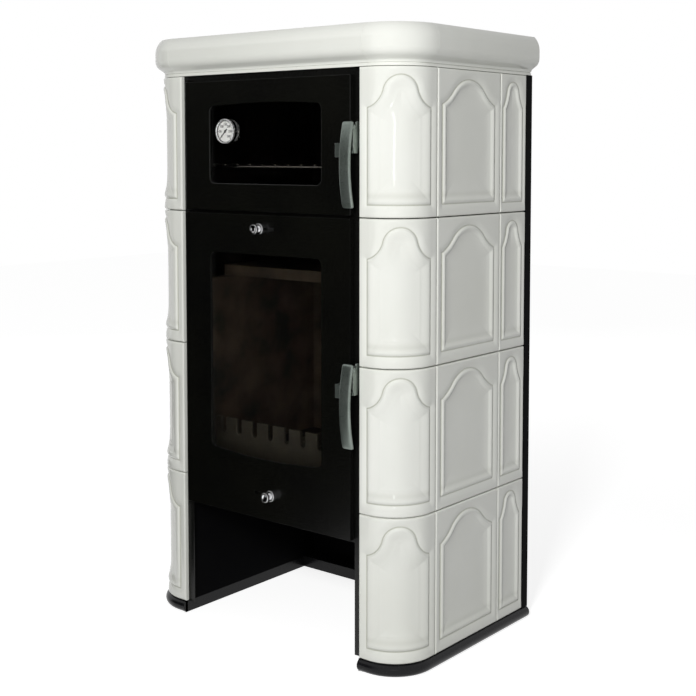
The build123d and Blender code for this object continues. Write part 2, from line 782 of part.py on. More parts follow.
def rope_loop(foot, height):
    """Sealing rope pressed round the door's inside, just clear of the frame."""
    middle = foot + height / 2
    line = Rectangle(door_width - 2 * rope_inset, height - 2 * rope_inset)
    line = chamfer(line.vertices(), rope_corner)
    outer = offset(line, amount=rope_width / 2, kind=Kind.INTERSECTION)
    inner = offset(line, amount=-rope_width / 2, kind=Kind.INTERSECTION)
    loop = front_plane(door_back) * (Pos(0, middle) * (outer - inner))
    return extrude(loop, door_back - rope_back)


def glass_plate(foot, height):
    """Ceramic glass plate behind a window."""
    half = window_width / 2 + glass_lap
    return box(-half, half, glass_front, glass_back, foot - glass_lap, foot + height + glass_lap)


def glass_clips(foot, height):
    """Stepped sheet clips that hold the glass against the door."""
    edge = window_width / 2 + glass_lap
    tip = edge - clip_lap
    heel = tip + clip_width
    pieces = []
    for z in (foot + clip_inset, foot + height - clip_inset):
        z0 = z - clip_length / 2
        z1 = z + clip_length / 2
        clip = box(tip, heel, glass_back, glass_back + clip_sheet, z0, z1)
        clip += box(edge + glass_side_gap, heel, glass_front, glass_back, z0, z1)
        pieces += [clip, left_of(clip)]
    return Compound(children=pieces)


def handle_bracket(pivot_z):
    """Foot on the door's face, two cheeks, the bridge between them and the lever's riveted pin."""
    face = door_front
    foot_x1 = lever_x - lever_width / 2 + foot_lap
    foot_z0 = pivot_z - cheek_drop - foot_drop
    bracket = box(foot_x1 - foot_width, foot_x1, face - foot_depth, face, foot_z0, foot_z0 + foot_height)
    bracket = chamfer(bracket.edges().filter_by(Axis.Z).group_by(Axis.Y)[0], foot_edge)
    left_cheek = box(
        left_cheek_x, left_cheek_x + cheek_thickness, pivot_y - cheek_radius, face, pivot_z - cheek_drop, pivot_z
    )
    left_cheek += rod_x(left_cheek_x, left_cheek_x + cheek_thickness, pivot_y, pivot_z, 2 * cheek_radius)
    right_cheek = box(
        right_cheek_x, right_cheek_x + cheek_thickness, pivot_y - cheek_radius, face + cheek_reach,
        pivot_z - cheek_drop, pivot_z,
    )
    right_cheek += rod_x(right_cheek_x, right_cheek_x + cheek_thickness, pivot_y, pivot_z, 2 * cheek_radius)
    right_cheek += box(
        right_cheek_x, right_cheek_x + cheek_thickness, face + overrun, face + cheek_reach,
        pivot_z - overrun, pivot_z + pivot_drop,
    )
    right_cheek += box(
        right_cheek_x, right_cheek_x + cheek_thickness, pivot_y, face + cheek_reach,
        pivot_z - overrun, pivot_z + cheek_radius,
    )
    bridge = box(
        left_cheek_x, right_cheek_x + overrun, pivot_y - cheek_radius, face - seat_gap,
        pivot_z - cheek_drop, pivot_z - cheek_drop + bridge_height,
    )
    head_x = right_cheek_x + cheek_thickness
    pin = rod_x(left_cheek_x, head_x, pivot_y, pivot_z, pin_diameter)
    pin_top = rod_x(head_x, head_x + pin_head_height, pivot_y, pivot_z, pin_head)
    return bracket + left_cheek + right_cheek + bridge + pin + pin_top


def handle_lever(pivot_z):
    """Bowed flat lever with the hub that turns on the pin and the latch tongue behind it."""
    head_z = pivot_z + pivot_drop
    foot_z = head_z - lever_length
    middle_z = (head_z + foot_z) / 2
    end_back = door_front - lever_standoff
    mid_back = end_back - lever_bow
    end_front = end_back - lever_thickness
    mid_front = mid_back - lever_thickness
    edges = [
        ThreePointArc((end_back, head_z), (mid_back, middle_z), (end_back, foot_z)),
        Line((end_back, foot_z), (end_front, foot_z)),
        ThreePointArc((end_front, foot_z), (mid_front, middle_z), (end_front, head_z)),
        Line((end_front, head_z), (end_back, head_z)),
    ]
    side = Plane(origin=(lever_x - lever_width / 2, 0, 0), x_dir=(0, 1, 0), z_dir=(1, 0, 0))
    blade = extrude(side * make_face(edges), lever_width)
    blade = chamfer(blade.edges().filter_by(Axis.Y), lever_corner)
    hub_x0 = left_cheek_x + cheek_thickness + hub_side_gap
    hub_x1 = right_cheek_x - hub_side_gap
    hub = rod_x(hub_x0, hub_x1, pivot_y, pivot_z, 2 * cheek_radius)
    hub += box(
        hub_x0, hub_x1, end_back - lever_bow / 2, pivot_y, pivot_z - cheek_radius, pivot_z + cheek_radius
    )
    tongue = box(
        tongue_x - tongue_width / 2, tongue_x + tongue_width / 2, pivot_y, tongue_tip_y,
        pivot_z - tongue_drop - tongue_height, pivot_z - tongue_drop,
    )
    lever = blade + hub + tongue
    bore_diameter = pin_diameter + 2 * hinge_clearance
    bore = rod_x(hub_x0 - overrun, hub_x1 + overrun, pivot_y, pivot_z, bore_diameter)
    return lever - bore


# ================================================================ air slides
def air_slide(rest_x, z):
    """Turned knob and stem, and the shutter plate behind the door."""
    face = door_front - slide_gap
    flange_front = face - knob_flange_thickness
    tip = face - knob_length
    disc_back = tip + knob_disc_thickness
    plate_front = door_back + slide_gap
    knob = turned(rest_x, z, [
        (0, tip), (knob_disc / 2, tip), (knob_disc / 2, disc_back),
        (knob_neck / 2, disc_back), (knob_neck / 2, flange_front), (knob_flange / 2, flange_front),
        (knob_flange / 2, face), (slide_stem / 2, face), (slide_stem / 2, plate_front), (0, plate_front),
    ])
    plate = box(
        rest_x - slide_plate_width / 2, rest_x + slide_plate_width / 2, plate_front,
        plate_front + slide_plate_thickness, z - slide_plate_height / 2, z + slide_plate_height / 2,
    )
    return knob + plate


def slide_guides(z):
    """Two rails behind the door that keep a shutter plate in its track."""
    half_length = (slide_plate_width + slide_travel) / 2 + guide_overrun
    near = slide_plate_height / 2 + slide_gap
    far = near + guide_height
    back = door_back + 2 * slide_gap + slide_plate_thickness
    upper = box(-half_length, half_length, door_back, back, z + near, z + far)
    lower = box(-half_length, half_length, door_back, back, z - far, z - near)
    return upper + lower


# ================================================================ thermometer
def thermometer_case(x, z):
    """Dial case with its bezel and the needle's pivot, the probe through the glass and its nuts."""
    front = glass_front - dial_depth
    dial_face = glass_front - dial_floor
    radius = dial_diameter / 2
    lip = radius - dial_bezel
    pivot_tip = dial_face - needle_lift - needle_thickness
    case = turned(x, z, [
        (0, pivot_tip), (needle_pivot / 2, pivot_tip), (needle_pivot / 2, dial_face), (lip, dial_face),
        (lip, front), (radius, front), (radius, glass_front), (probe_diameter / 2, glass_front),
        (probe_diameter / 2, glass_back + probe_length), (0, glass_back + probe_length),
    ])
    nut = Pos(x, z) * RegularPolygon(nut_width / 2, 6)
    stop_nut = Pos(x, z) * RegularPolygon(stop_nut_width / 2, 6)
    case += extrude(front_plane(glass_back) * nut, -nut_thickness)
    stop_plane = front_plane(glass_back + nut_thickness + stop_nut_gap)
    return case + extrude(stop_plane * stop_nut, -stop_nut_thickness)


def thermometer_needle(x, z):
    """Tapered pointer whose hub turns on the dial's pivot."""
    back = glass_front - dial_floor - needle_lift
    front = back - needle_thickness
    tip = needle_tip_width / 2
    tail = needle_tail_width / 2
    outline = Polyline(
        (-tail, -needle_tail), (tail, -needle_tail), (needle_width / 2, 0), (tip, needle_length),
        (-tip, needle_length), (-needle_width / 2, 0), close=True,
    )
    turn = Rot(0, 0, -needle_rest)
    blade = extrude(front_plane(back) * Pos(x, z) * turn * make_face(outline), needle_thickness)
    hub = rod_y(x, front, back, z, needle_hub)
    bore = rod_y(x, front - overrun, back + overrun, z, needle_pivot + 2 * hinge_clearance)
    return blade + hub - bore


def add_oven_door():
    """The oven door with everything that turns with it."""
    foot = oven_door_foot + oven_window_sill
    head = foot + oven_window_height + oven_window_rise
    window = window_face(foot, head, rise=oven_window_rise)
    nodes["oven_door"] = door_panel(oven_door_foot, oven_door_height, window)
    dial_x = -window_width / 2 + dial_from_left
    dial_z = head - oven_window_rise - dial_from_head
    hole_diameter = probe_diameter + 2 * probe_hole_gap
    hole = rod_y(dial_x, glass_front - overrun, glass_back + overrun, dial_z, hole_diameter)
    nodes["oven_glass"] = glass_plate(foot, head - foot) - hole
    nodes["oven_glass_clips"] = glass_clips(foot, head - foot)
    nodes["oven_door_rope"] = rope_loop(oven_door_foot, oven_door_height)
    nodes["thermometer_case"] = thermometer_case(dial_x, dial_z)
    nodes["thermometer_needle"] = thermometer_needle(dial_x, dial_z)
    nodes["oven_handle_bracket"] = handle_bracket(oven_pivot_z)
    nodes["oven_handle_lever"] = handle_lever(oven_pivot_z)


def add_fire_door():
    """The firebox door with everything that turns with it."""
    foot = fire_door_foot + fire_window_sill - fire_window_sag
    head = fire_door_foot + fire_window_sill + fire_window_height
    window = window_face(foot, head, sag=fire_window_sag)
    door = door_panel(fire_door_foot, fire_door_height, window)
    for z in (upper_slide_z, lower_slide_z):
        slot_length = slide_travel + slide_stem + 2 * slide_end_gap
        slot = Pos(0, z) * Rectangle(slot_length, slide_stem + 2 * slide_gap)
        door -= extrude(front_plane(door_front - overrun) * slot, -door_rim)
        door += slide_guides(z)
    nodes["fire_door"] = door
    nodes["fire_glass"] = glass_plate(foot, head - foot)
    nodes["fire_glass_clips"] = glass_clips(foot, head - foot)
    nodes["fire_door_rope"] = rope_loop(fire_door_foot, fire_door_height)
    nodes["upper_air_slide"] = air_slide(upper_slide_rest, upper_slide_z)
    nodes["lower_air_slide"] = air_slide(lower_slide_rest, lower_slide_z)
    nodes["fire_handle_bracket"] = handle_bracket(fire_pivot_z)
    nodes["fire_handle_lever"] = handle_lever(fire_pivot_z)


def build():
    """Make every node and write it to its file."""
    add_tiles()
    add_plinth()
    add_cornice()
    add_casing()
    add_top()
    add_front_frame()
    add_firebox()
    add_log_guard()
    add_oven()
    add_oven_door()
    add_fire_door()
    os.makedirs("parts", exist_ok=True)
    for name, part in nodes.items():
        export_step(part, f"parts/{name}.step")


if __name__ == "__main__":
    build()
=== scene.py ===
"""Looks of the tiled wood stove: glazed tiles with arched panels, a roll cornice, a bullnose plinth,
bowed handles, turned air knobs, a dial thermometer, braided sealing ropes, the oven rack and the log
guard, all built round the CAD frame.

Units are metres.  X runs to the viewer's right, Y from the front to the back, Z up.
"""
import json
from math import asin, cos, pi, radians, sin

import bmesh
import bpy
import numpy as np
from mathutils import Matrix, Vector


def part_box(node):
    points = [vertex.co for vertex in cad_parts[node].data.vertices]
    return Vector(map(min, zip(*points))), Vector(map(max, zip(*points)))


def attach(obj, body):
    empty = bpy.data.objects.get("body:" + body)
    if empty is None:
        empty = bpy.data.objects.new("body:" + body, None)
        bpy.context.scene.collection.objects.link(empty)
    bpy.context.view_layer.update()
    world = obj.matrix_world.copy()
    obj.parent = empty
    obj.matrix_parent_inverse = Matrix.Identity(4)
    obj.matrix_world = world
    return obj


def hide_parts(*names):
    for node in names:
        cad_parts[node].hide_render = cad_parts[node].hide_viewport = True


# ---------------------------------------------------------------- tiles
tile_rows = 4
tile_joint = 0.002
corner_radius = 0.090
tile_thickness = 0.012
tile_grid = 0.0014           # spacing of the tiles' surface points
tile_rim = 0.0035            # radius of a tile's rounded edge
rim_steps = 5
margin_slope = 0.39          # the plain margin bends down to this slope at the crease
margin_bend = 0.017
bead_rise = 0.0034           # inside the crease a bead rises
bead_width = 0.0062
bead_power = 1.6
step_depth = 0.0042          # from the bead's crest down to the panel
dish_depth = 0.0022          # the panel is dished a little more towards its middle
dish_length = 0.010
crease_shade_width = 0.0011        # width of the painted shade, a dark line along the crease
pool_height = 0.0180         # the glaze gathers above the panel's foot
pool_width = 0.0060
pool_share = 0.20

# width of the step; plain margin beside a panel, below it and above its apex; rise of its head,
# steepest slope and slope at its foot
full_panel = (0.012, 0.0190, 0.0250, 0.0195, 0.0515, 46.8, 21.9)
corner_panel = (0.024, 0.0190, 0.0250, 0.0165, 0.0640, 76.3, 11.7)
half_panel = (0.010, 0.0120, 0.0215, 0.0170, 0.0560, 79.0, 54.0)

# ---------------------------------------------------------------- plinth and cornice
plinth_ledge = 0.006
plinth_bar = 0.060
cornice_roll = 0.018
cornice_band = 0.007
cornice_inset = 0.003
cornice_depth = 0.046
cornice_wall = 0.012
cornice_hollow = 0.005       # how far the hollow inside reaches out past the tiled face
cornice_neck_rise = 0.013    # from the band to the wall's lowest inner face, less the wall
cornice_cove = 0.008         # radius of the hollow over the band
cornice_round = 0.022        # radius below the belly
cornice_bow = 0.042          # radius above the belly
cornice_flank = 55.0         # slope of the flank from upright, in degrees
cornice_belly_low = 0.037    # the belly is upright between these heights
cornice_belly_high = 0.053
cornice_groove = 0.0025
cornice_groove_width = 0.0016
cornice_joint = 0.0004
cornice_edge = 0.0003        # rounded edge at the ends of each length
path_step = 0.006

# ---------------------------------------------------------------- handles
lever_width = 0.027
lever_thickness = 0.007
lever_bow = 0.011
lever_standoff = 0.008
lever_end = 0.0045           # rounding at the lever's ends
lever_end_share = 0.35       # of the thickness that is left at the very ends
lever_squareness = 3.6       # exponent of the lever's rounded section
pivot_drop = 0.012
pivot_standoff = 0.005
hub_radius = 0.005
hub_side_gap = 0.0005
cheek_inset = 0.0025
cheek_thickness = 0.004
cheek_reach = 0.009
cheek_drop = 0.051
cheek_taper = 0.014
cheek_clearance = 0.001      # between the right-hand cheek's head and the door's front
cheek_bevel = 0.003
bridge_height = 0.006
bridge_lap = 0.001
bridge_gap = 0.0003
foot_width = 0.024
foot_height = 0.028
foot_depth = 0.015
foot_drop = 0.008
foot_lap = 0.006
tongue_width = 0.007
tongue_side_gap = 0.0005
tongue_height = 0.008
tongue_drop = 0.002
pin_head = 0.009
pin_head_height = 0.002
pin_radius = 0.0025
bracket_edge = 0.0009

# ---------------------------------------------------------------- air knobs and thermometer
knob_standoff = 0.020        # from the knob's tip to the door's front
knob_recess = 0.0006
recess_share = 0.55          # of the disc's radius: the recess in its front, and where its slope ends
slope_share = 0.62
knob_flange = 0.023
knob_flange_thickness = 0.004
knob_disc = 0.020
knob_disc_thickness = 0.006
knob_neck = 0.012
knob_edge = 0.0011
slide_stem = 0.006
slide_plate_height = 0.018
slide_plate_thickness = 0.002
dial_diameter = 0.054
dial_bezel = 0.003
dial_floor = 0.005           # thickness behind the dial's face
bezel_depth = 0.006
barrel_inset = 0.0022
dial_skin = 0.0003
dial_gap = 0.0001
dial_edge = 0.0003
dial_steps = 96
needle_pivot = 0.003
needle_reach = 0.0014        # pivot in front of the dial's face
probe_diameter = 0.006
nut_width = 0.012
nut_thickness = 0.005
stop_nut_width = 0.010
stop_nut_thickness = 0.003
stop_nut_gap = 0.008
figure_size = 0.0072
figure_radius = 0.0150
figure_weight = 0.00015      # how far each stroke of a figure is thickened
figure_step = 50
figure_count = 7
mark_sweep = 270.0           # degrees from the first mark to the last
marks_between = 5
mark_outer = 0.0218
mark_inner = 0.0202
long_mark_inner = 0.0192
# painted shade round the dial's edge, from this radius out
shade_ring_inner = 0.0224
mark_width = 0.0007
ink = 0.00012                # thickness of the marks and figures

# ---------------------------------------------------------------- ropes and rack
rope_radius = 0.0040
rope_corner = 0.027
rope_gap = 0.0001
rope_step = 0.0015
braid_pitch = 0.009
braid_depth = 0.07           # share of the rope's radius
rack_wire = 0.005
rack_bars = 11

# ---------------------------------------------------------------- finishes and studio
glaze_white = (0.82, 0.83, 0.78)
glaze_warm = (0.79, 0.80, 0.74)
# colour of the painted shade along the creases, and of the glaze gathered above each panel's foot
pooled_glaze_and_shade = (0.42, 0.43, 0.35)
wave_scale = 14.0            # the glaze's surface waves a little
wave_height = 0.0009
wear_and_highlight_width = 0.0015
wear_and_highlight_turn = (0.985, 0.86)    # cosine at which an edge's colour starts, and at which it is full: wear, and on the handles a painted highlight
wear_and_highlight_scale = 160.0
wear_and_highlight_patches = (0.42, 0.62)  # range of the noise that breaks the wear up
tone_patches = (0.34, 0.66)
grain_range = (0.3, 0.7)
black = (0.0022, 0.0023, 0.0020)
sky_light = 0.15             # light that reaches the stove from all round
floor_reach = 8.0
floor_grey = 0.55
card_grey = 0.002
near_glow = 0.80             # keeps the floor white to the eye, and more so far from the stove
far_glow = 0.90
near_floor = 1.2
far_floor = 3.5
card_near = (-0.35, -2.6)    # dark card in front, which the black doors mirror
card_far = (-4.2, -1.6)
card_height = 1.95
card_foot = 0.001
cloth_near = (-0.25, -0.45)  # dark cloth on the floor between the card and the stove
cloth_far = (-3.0, 0.2)
key_place = (1.40, -2.50, 1.70)     # main light, which no mirror shows
key_aim = (0.1, 0.0, 0.75)
key_size = (0.4, 0.5)
key_power = 63.0
spark_place = (1.84, -2.25, 1.12)   # narrow light beside the camera, which the glaze mirrors
spark_aim = (0.1, 0.0, 0.75)
spark_size = (0.15, 0.45)
spark_power = 1.5
back_place = (-2.6, 2.4, 2.2)       # light for the back, which no mirror shows
back_aim = (0.0, 0.0, 0.6)
back_size = (1.5, 1.5)
back_power = 20.0

weld = 1e-6                  # points closer than this are one
cad_weld = 1e-5
flat_angle = 0.5             # CAD triangles within this angle, in degrees, are one face
cad_sharp = 30.0

# CAD nodes whose shape stays, with the width of their rounded edges
softened = {
    "oven_door": 0.0015,
    "fire_door": 0.0015,
    "front_frame": 0.0006,
    "log_guard": 0.0012,
    "grate": 0.0012,
    "side_brick_left": 0.002,
    "side_brick_right": 0.002,
    "rear_brick": 0.002,
    "baffle": 0.002,
    "latch_keepers": 0.0008,
    "top_plate": 0.0,
    "oven_glass_clips": 0.0003,
    "fire_glass_clips": 0.0003,
}

# ---------------------------------------------------------------- camera, in the photograph's pixels
photo_size = 696
focal_px = 1234.96
horizon_centre_px = 237.01   # the optical axis's height in the photograph
sensor = 36.0
camera_place = (1.7856, -2.1451, 1.0510)
camera_pitch = 0.0677
camera_yaw = 0.6848

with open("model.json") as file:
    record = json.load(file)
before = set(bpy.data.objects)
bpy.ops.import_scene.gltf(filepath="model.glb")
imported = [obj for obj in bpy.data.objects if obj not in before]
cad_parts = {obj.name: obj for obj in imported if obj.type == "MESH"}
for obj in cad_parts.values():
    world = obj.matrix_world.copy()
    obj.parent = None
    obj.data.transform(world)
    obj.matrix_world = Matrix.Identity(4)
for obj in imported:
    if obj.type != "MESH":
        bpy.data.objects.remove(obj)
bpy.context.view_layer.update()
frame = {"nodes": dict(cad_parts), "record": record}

corner_low, corner_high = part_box("corner_tiles_right")
side_low, side_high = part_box("side_tiles_right")
narrow_low, narrow_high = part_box("narrow_tiles_right")
face_y = corner_low[1]
face_x = corner_high[0]
half_opening = corner_low[0]
tiles_foot = corner_low[2]
row_pitch = (corner_high[2] - corner_low[2] + tile_joint) / tile_rows
tile_height = row_pitch - tile_joint
arc_x = face_x - corner_radius
arc_y = face_y + corner_radius
plinth_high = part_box("plinth")[1]
cornice_low, cornice_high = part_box("cornice")
rear_y = plinth_high[1]

slot_of = {entry["node"]: entry["material_slot"] for entry in frame["record"]["subparts"]}
body_of = {node: body for body, nodes in frame["record"]["behaviour"]["bodies"].items() for node in nodes}
finishes = {}
groups = {}


# ================================================================ surfaces
def surface(name, points, wrap_rows=False, wrap_columns=False, capped=False, sharp=40.0, values=None):
    """Mesh over a grid of points (rows, columns, 3).

    Quads join neighbours: (i, j), (i+1, j), (i+1, j+1), (i, j+1).  A wrapped direction joins its
    last points to its first, and caps close the first and the last row.  Points that meet are
    welded and all faces are turned outward.  Values are named numbers kept at the points.
    """
    rows, columns = points.shape[:2]
    index = np.arange(rows * columns).reshape(rows, columns)
    caps = [index[0].tolist(), index[-1].tolist()] if capped else []
    if wrap_rows:
        index = np.concatenate([index, index[:1]])
    if wrap_columns:
        index = np.concatenate([index, index[:, :1]], axis=1)
    quads = np.stack([index[:-1, :-1], index[1:, :-1], index[1:, 1:], index[:-1, 1:]], axis=-1)
    mesh = bpy.data.meshes.new(name)
    mesh.from_pydata(points.reshape(-1, 3).tolist(), [], quads.reshape(-1, 4).tolist() + caps)
    for label, numbers in (values or {}).items():
        layer = mesh.attributes.new(label, "FLOAT", "POINT")
        layer.data.foreach_set("value", np.ascontiguousarray(numbers, dtype=np.float32).ravel())
    work = bmesh.new()
    work.from_mesh(mesh)
    bmesh.ops.remove_doubles(work, verts=work.verts, dist=weld)
    bmesh.ops.recalc_face_normals(work, faces=work.faces)
    work.to_mesh(mesh)
    work.free()
    mesh.shade_smooth()
    mesh.set_sharp_from_angle(angle=radians(sharp))
    return mesh


def joined(name, meshes):
    """One mesh out of several."""
    work = bmesh.new()
    for mesh in meshes:
        work.from_mesh(mesh)
    whole = bpy.data.meshes.new(name)
    work.to_mesh(whole)
    work.free()
    return whole


def add_object(name, data):
    """New object in the scene."""
    made = bpy.data.objects.new(name, data)
    bpy.context.scene.collection.objects.link(made)
    return made


def piece(name, mesh, body, finish, stands_for=()):
    """Adds a mesh as a piece that rides on a body, with its finish and the CAD nodes it stands for."""
    obj = add_object(name, mesh)
    mesh.materials.clear()
    mesh.materials.append(finishes[finish])
    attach(obj, body)
    if stands_for:
        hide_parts(*stands_for)
    return obj


def round_edges(obj, width, segments=3, angle=35.0):
    """Rounds a piece's edges with a bevel that keeps its flat faces flat."""
    bevel = obj.modifiers.new("rounded_edges", "BEVEL")
    bevel.width = width
    bevel.segments = segments
    bevel.limit_method = "ANGLE"
    bevel.angle_limit = radians(angle)
    bevel.harden_normals = True
    return obj


def soften(node, width, segments=2):
    """Puts a copy of a CAD node, its triangles merged and its edges rounded, in the node's place."""
    mesh = frame["nodes"][node].data.copy()
    work = bmesh.new()
    work.from_mesh(mesh)
    bmesh.ops.remove_doubles(work, verts=work.verts, dist=cad_weld)
    bmesh.ops.dissolve_limit(work, angle_limit=radians(flat_angle), verts=work.verts, edges=work.edges)
    work.to_mesh(mesh)
    work.free()
    mesh.shade_smooth()
    mesh.set_sharp_from_angle(angle=radians(cad_sharp))
    obj = piece(f"{node}_body", mesh, body_of[node], slot_of[node], [node])
    if width:
        round_edges(obj, width, segments)
    return obj


def left_of(points):
    """The same points on the stove's left-hand side."""
    return points * np.array([-1.0, 1.0, 1.0])


def prism(axis, outline, low, high):
    """Outline of (a, b) points in the other two axes, swept straight from low to high along an axis."""
    across = [k for k in range(3) if k != axis]
    points = np.empty((2, len(outline), 3))
    points[..., axis] = [[low], [high]]
    points[..., across] = np.array(outline)
    return points


def block(low, high):
    """Rectangular bar between two corners, as a prism along Z."""
    outline = [(low[0], low[1]), (high[0], low[1]), (high[0], high[1]), (low[0], high[1])]
    return prism(2, outline, low[2], high[2])


def solid(name, points):
    """Closed mesh of a prism or of any other ring that is carried along and capped."""
    return surface(name, points, wrap_columns=True, capped=True)


def turned(axis, centre, profile, steps):
    """Ring surface about an axis: place along it from the profile, radius * cos and sin across it."""
    radius, along = np.array(profile).T
    angle = np.linspace(0, 2 * pi, steps, endpoint=False)
    first, second = [k for k in range(3) if k != axis]
    points = np.empty((len(radius), steps, 3))
    points[..., axis] = along[:, None]
    points[..., first] = centre[first] + radius[:, None] * np.cos(angle)
    points[..., second] = centre[second] + radius[:, None] * np.sin(angle)
    return points


def lathe(name, axis, centre, profile, steps=64, **options):
    """Closed mesh of a profile of (radius, along) points that is turned about an axis."""
    return surface(name, turned(axis, centre, profile, steps), wrap_columns=True, **options)


def arc(centre_a, centre_b, radius, start, end, count):
    """Points of a circle arc in a plane, from one angle to another in degrees."""
    angle = np.radians(np.linspace(start, end, count))
    return np.stack([centre_a + radius * np.cos(angle), centre_b + radius * np.sin(angle)], axis=-1)


def smooth(value):
    """Eases 0..1 with 3 t^2 - 2 t^3, and holds beyond."""
    t = np.clip(value, 0.0, 1.0)
    return t * t * (3 - 2 * t)


# ================================================================ tiles
def arch_distance(x, y, half_width, foot, head, arch):
    """Distance from the panel's outline, positive inside.

    The outline has a straight foot and sides; each side of its head is a hollow arc that meets a
    round one at the steepest slope, and the two radii follow from the rise and the half width.
    """
    rise, top_slope, foot_slope = arch
    steep, shallow = radians(top_slope), radians(foot_slope)
    a11, a12 = sin(steep) - sin(shallow), sin(steep)
    a21, a22 = cos(shallow) - cos(steep), 1 - cos(steep)
    det = a11 * a22 - a12 * a21
    hollow = (half_width * a22 - a12 * rise) / det
    crown = (a11 * rise - a21 * half_width) / det
    shoulder = head - rise
    meet_x, meet_y = crown * sin(steep), head - crown * (1 - cos(steep))
    hollow_x, hollow_y = meet_x + hollow * sin(steep), meet_y + hollow * cos(steep)
    crown_y = head - crown
    across = np.abs(x)
    to_foot = np.hypot(across - np.clip(across, 0, half_width), y - foot)
    to_side = np.hypot(across - half_width, y - np.clip(y, foot, shoulder))
    to_meet = np.hypot(across - meet_x, y - meet_y)
    crown_turn = np.arctan2(across, y - crown_y)
    on_crown = np.abs(np.hypot(across, y - crown_y) - crown)
    to_crown = np.where(np.abs(crown_turn) <= steep, on_crown, to_meet)
    hollow_turn = np.arctan2(hollow_x - across, hollow_y - y)
    on_hollow = np.abs(np.hypot(across - hollow_x, y - hollow_y) - hollow)
    within = (hollow_turn >= shallow) & (hollow_turn <= steep)
    to_hollow = np.where(within, on_hollow, to_meet)
    nearest = np.minimum(np.minimum(to_foot, to_side), np.minimum(to_crown, to_hollow))
    crown_top = crown_y + np.sqrt(np.maximum(crown ** 2 - across ** 2, 0))
    hollow_top = hollow_y - np.sqrt(np.maximum(hollow ** 2 - (hollow_x - across) ** 2, 0))
    top = np.where(across <= meet_x, crown_top, hollow_top)
    inside = (across < half_width) & (y > foot) & (y < top)
    return np.where(inside, nearest, -nearest)


def panel_relief(distance, step_width):
    """Height by distance inside the crease: bent margin, bead, step and dished panel.

    margin: slope * bent^2 / (2 bend);  bead: rise * (1 - (1 - share of its width)^power);
    step: depth * (3 t^2 - 2 t^3);  dish: depth * (1 - exp(-distance beyond the step / length))
    """
    bent = np.clip(margin_bend + distance, 0, margin_bend)
    margin = -margin_slope * bent ** 2 / (2 * margin_bend)
    bead = bead_rise * (1 - (1 - np.clip(distance / bead_width, 0, 1)) ** bead_power)
    step = -step_depth * smooth((distance - bead_width) / step_width)
    beyond = np.maximum(distance - bead_width - step_width, 0)
    return margin + bead + step - dish_depth * (1 - np.exp(-beyond / dish_length))


def glaze_pool_and_crease_shade(distance, above_foot):
    """Painted shade and gathered glaze: a narrow band of painted shade along the crease, and a broad band
    above the foot where the glaze gathers.
    """
    # painted shade: a dark line along the crease
    crease = np.exp(-(distance / crease_shade_width) ** 2)
    foot = np.exp(-((above_foot - pool_height) / pool_width) ** 2)
    return crease + pool_share * foot * (distance > 0)


def rim(length):
    """Positions across a tile, from skirt to skirt, and the drop of its rounded edges at each."""
    turn = np.linspace(0, pi / 2, rim_steps)
    inward = tile_rim * (1 - np.cos(turn))
    drop = tile_rim * (1 - np.sin(turn))
    count = int(round((length - 2 * tile_rim) / tile_grid))
    inner = np.linspace(tile_rim, length - tile_rim, count + 1)[1:-1]
    position = np.concatenate([[0], inward, inner, length - inward[::-1], [length]])
    fall = np.concatenate([[tile_thickness], drop, 0 * inner, drop[::-1], [tile_thickness]])
    return position, fall


def tile_points(length, panel, place):
    """Grid of points over one tile: place(u, depth) bends it, and the panel's relief cuts it.

    depth = the larger rim drop - relief(distance from the panel's outline)
    """
    step_width, margin, foot, head, *arch = panel
    u, fall_u = rim(length)
    v, fall_v = rim(tile_height)
    distance = arch_distance(
        u[:, None] - length / 2, v[None], length / 2 - margin, foot, tile_height - head, arch
    )
    fall = np.maximum(fall_u[:, None], fall_v[None])
    depth = np.minimum(fall - panel_relief(distance, step_width), tile_thickness)
    x, y = place(np.broadcast_to(u[:, None], depth.shape), depth)
    z = np.broadcast_to(v[None], depth.shape)
    front = np.stack([x, y, z], axis=-1)
    behind = front[:, [0, 0]].copy()
    behind[..., 2] = tile_height / 2
    points = np.concatenate([behind[:, :1], front, behind[:, :1]], axis=1)
    # painted crease shade and gathered glaze, kept at each point
    pool_and_crease_shade = np.pad(glaze_pool_and_crease_shade(distance, v[None] - foot), ((0, 0), (1, 1)), mode="edge")
    return points, pool_and_crease_shade


def along_corner(u, depth):
    """Plan position by arc length round the right-hand corner: straight, quarter circle, straight."""
    lead = arc_x - half_opening
    quarter = corner_radius * pi / 2
    turn = np.clip((u - lead) / corner_radius, 0, pi / 2)
    radius = corner_radius - depth
    before = np.minimum(u - lead, 0)
    after = np.maximum(u - lead - quarter, 0)
    return arc_x + radius * np.sin(turn) + before, arc_y - radius * np.cos(turn) + after


def add_tiles():
    """Four rows of a corner, a full and a narrow tile in each pillar."""
    corner_length = arc_x - half_opening + corner_radius * pi / 2 + corner_high[1] - arc_y
    full_width = side_high[1] - side_low[1]
    half_width = narrow_high[1] - narrow_low[1]
    kinds = {
        "corner": tile_points(corner_length, corner_panel, along_corner),
        "side": tile_points(full_width, full_panel, lambda u, depth: (face_x - depth, side_low[1] + u)),
        "narrow": tile_points(half_width, half_panel, lambda u, depth: (face_x - depth, narrow_low[1] + u)),
    }
    for kind, (points, pool_and_crease_shade) in kinds.items():
        for row in range(tile_rows):
            lift = np.array([0, 0, tiles_foot + row * row_pitch])
            for side, placed in (("right", points + lift), ("left", left_of(points + lift))):
                name = f"{kind}_tile_{side}_{row + 1}"
                mesh = surface(name, placed, values={"pool_and_crease_shade": pool_and_crease_shade})
                piece(name, mesh, "stove", "glazed_tile", [f"{kind}_tiles_{side}"])


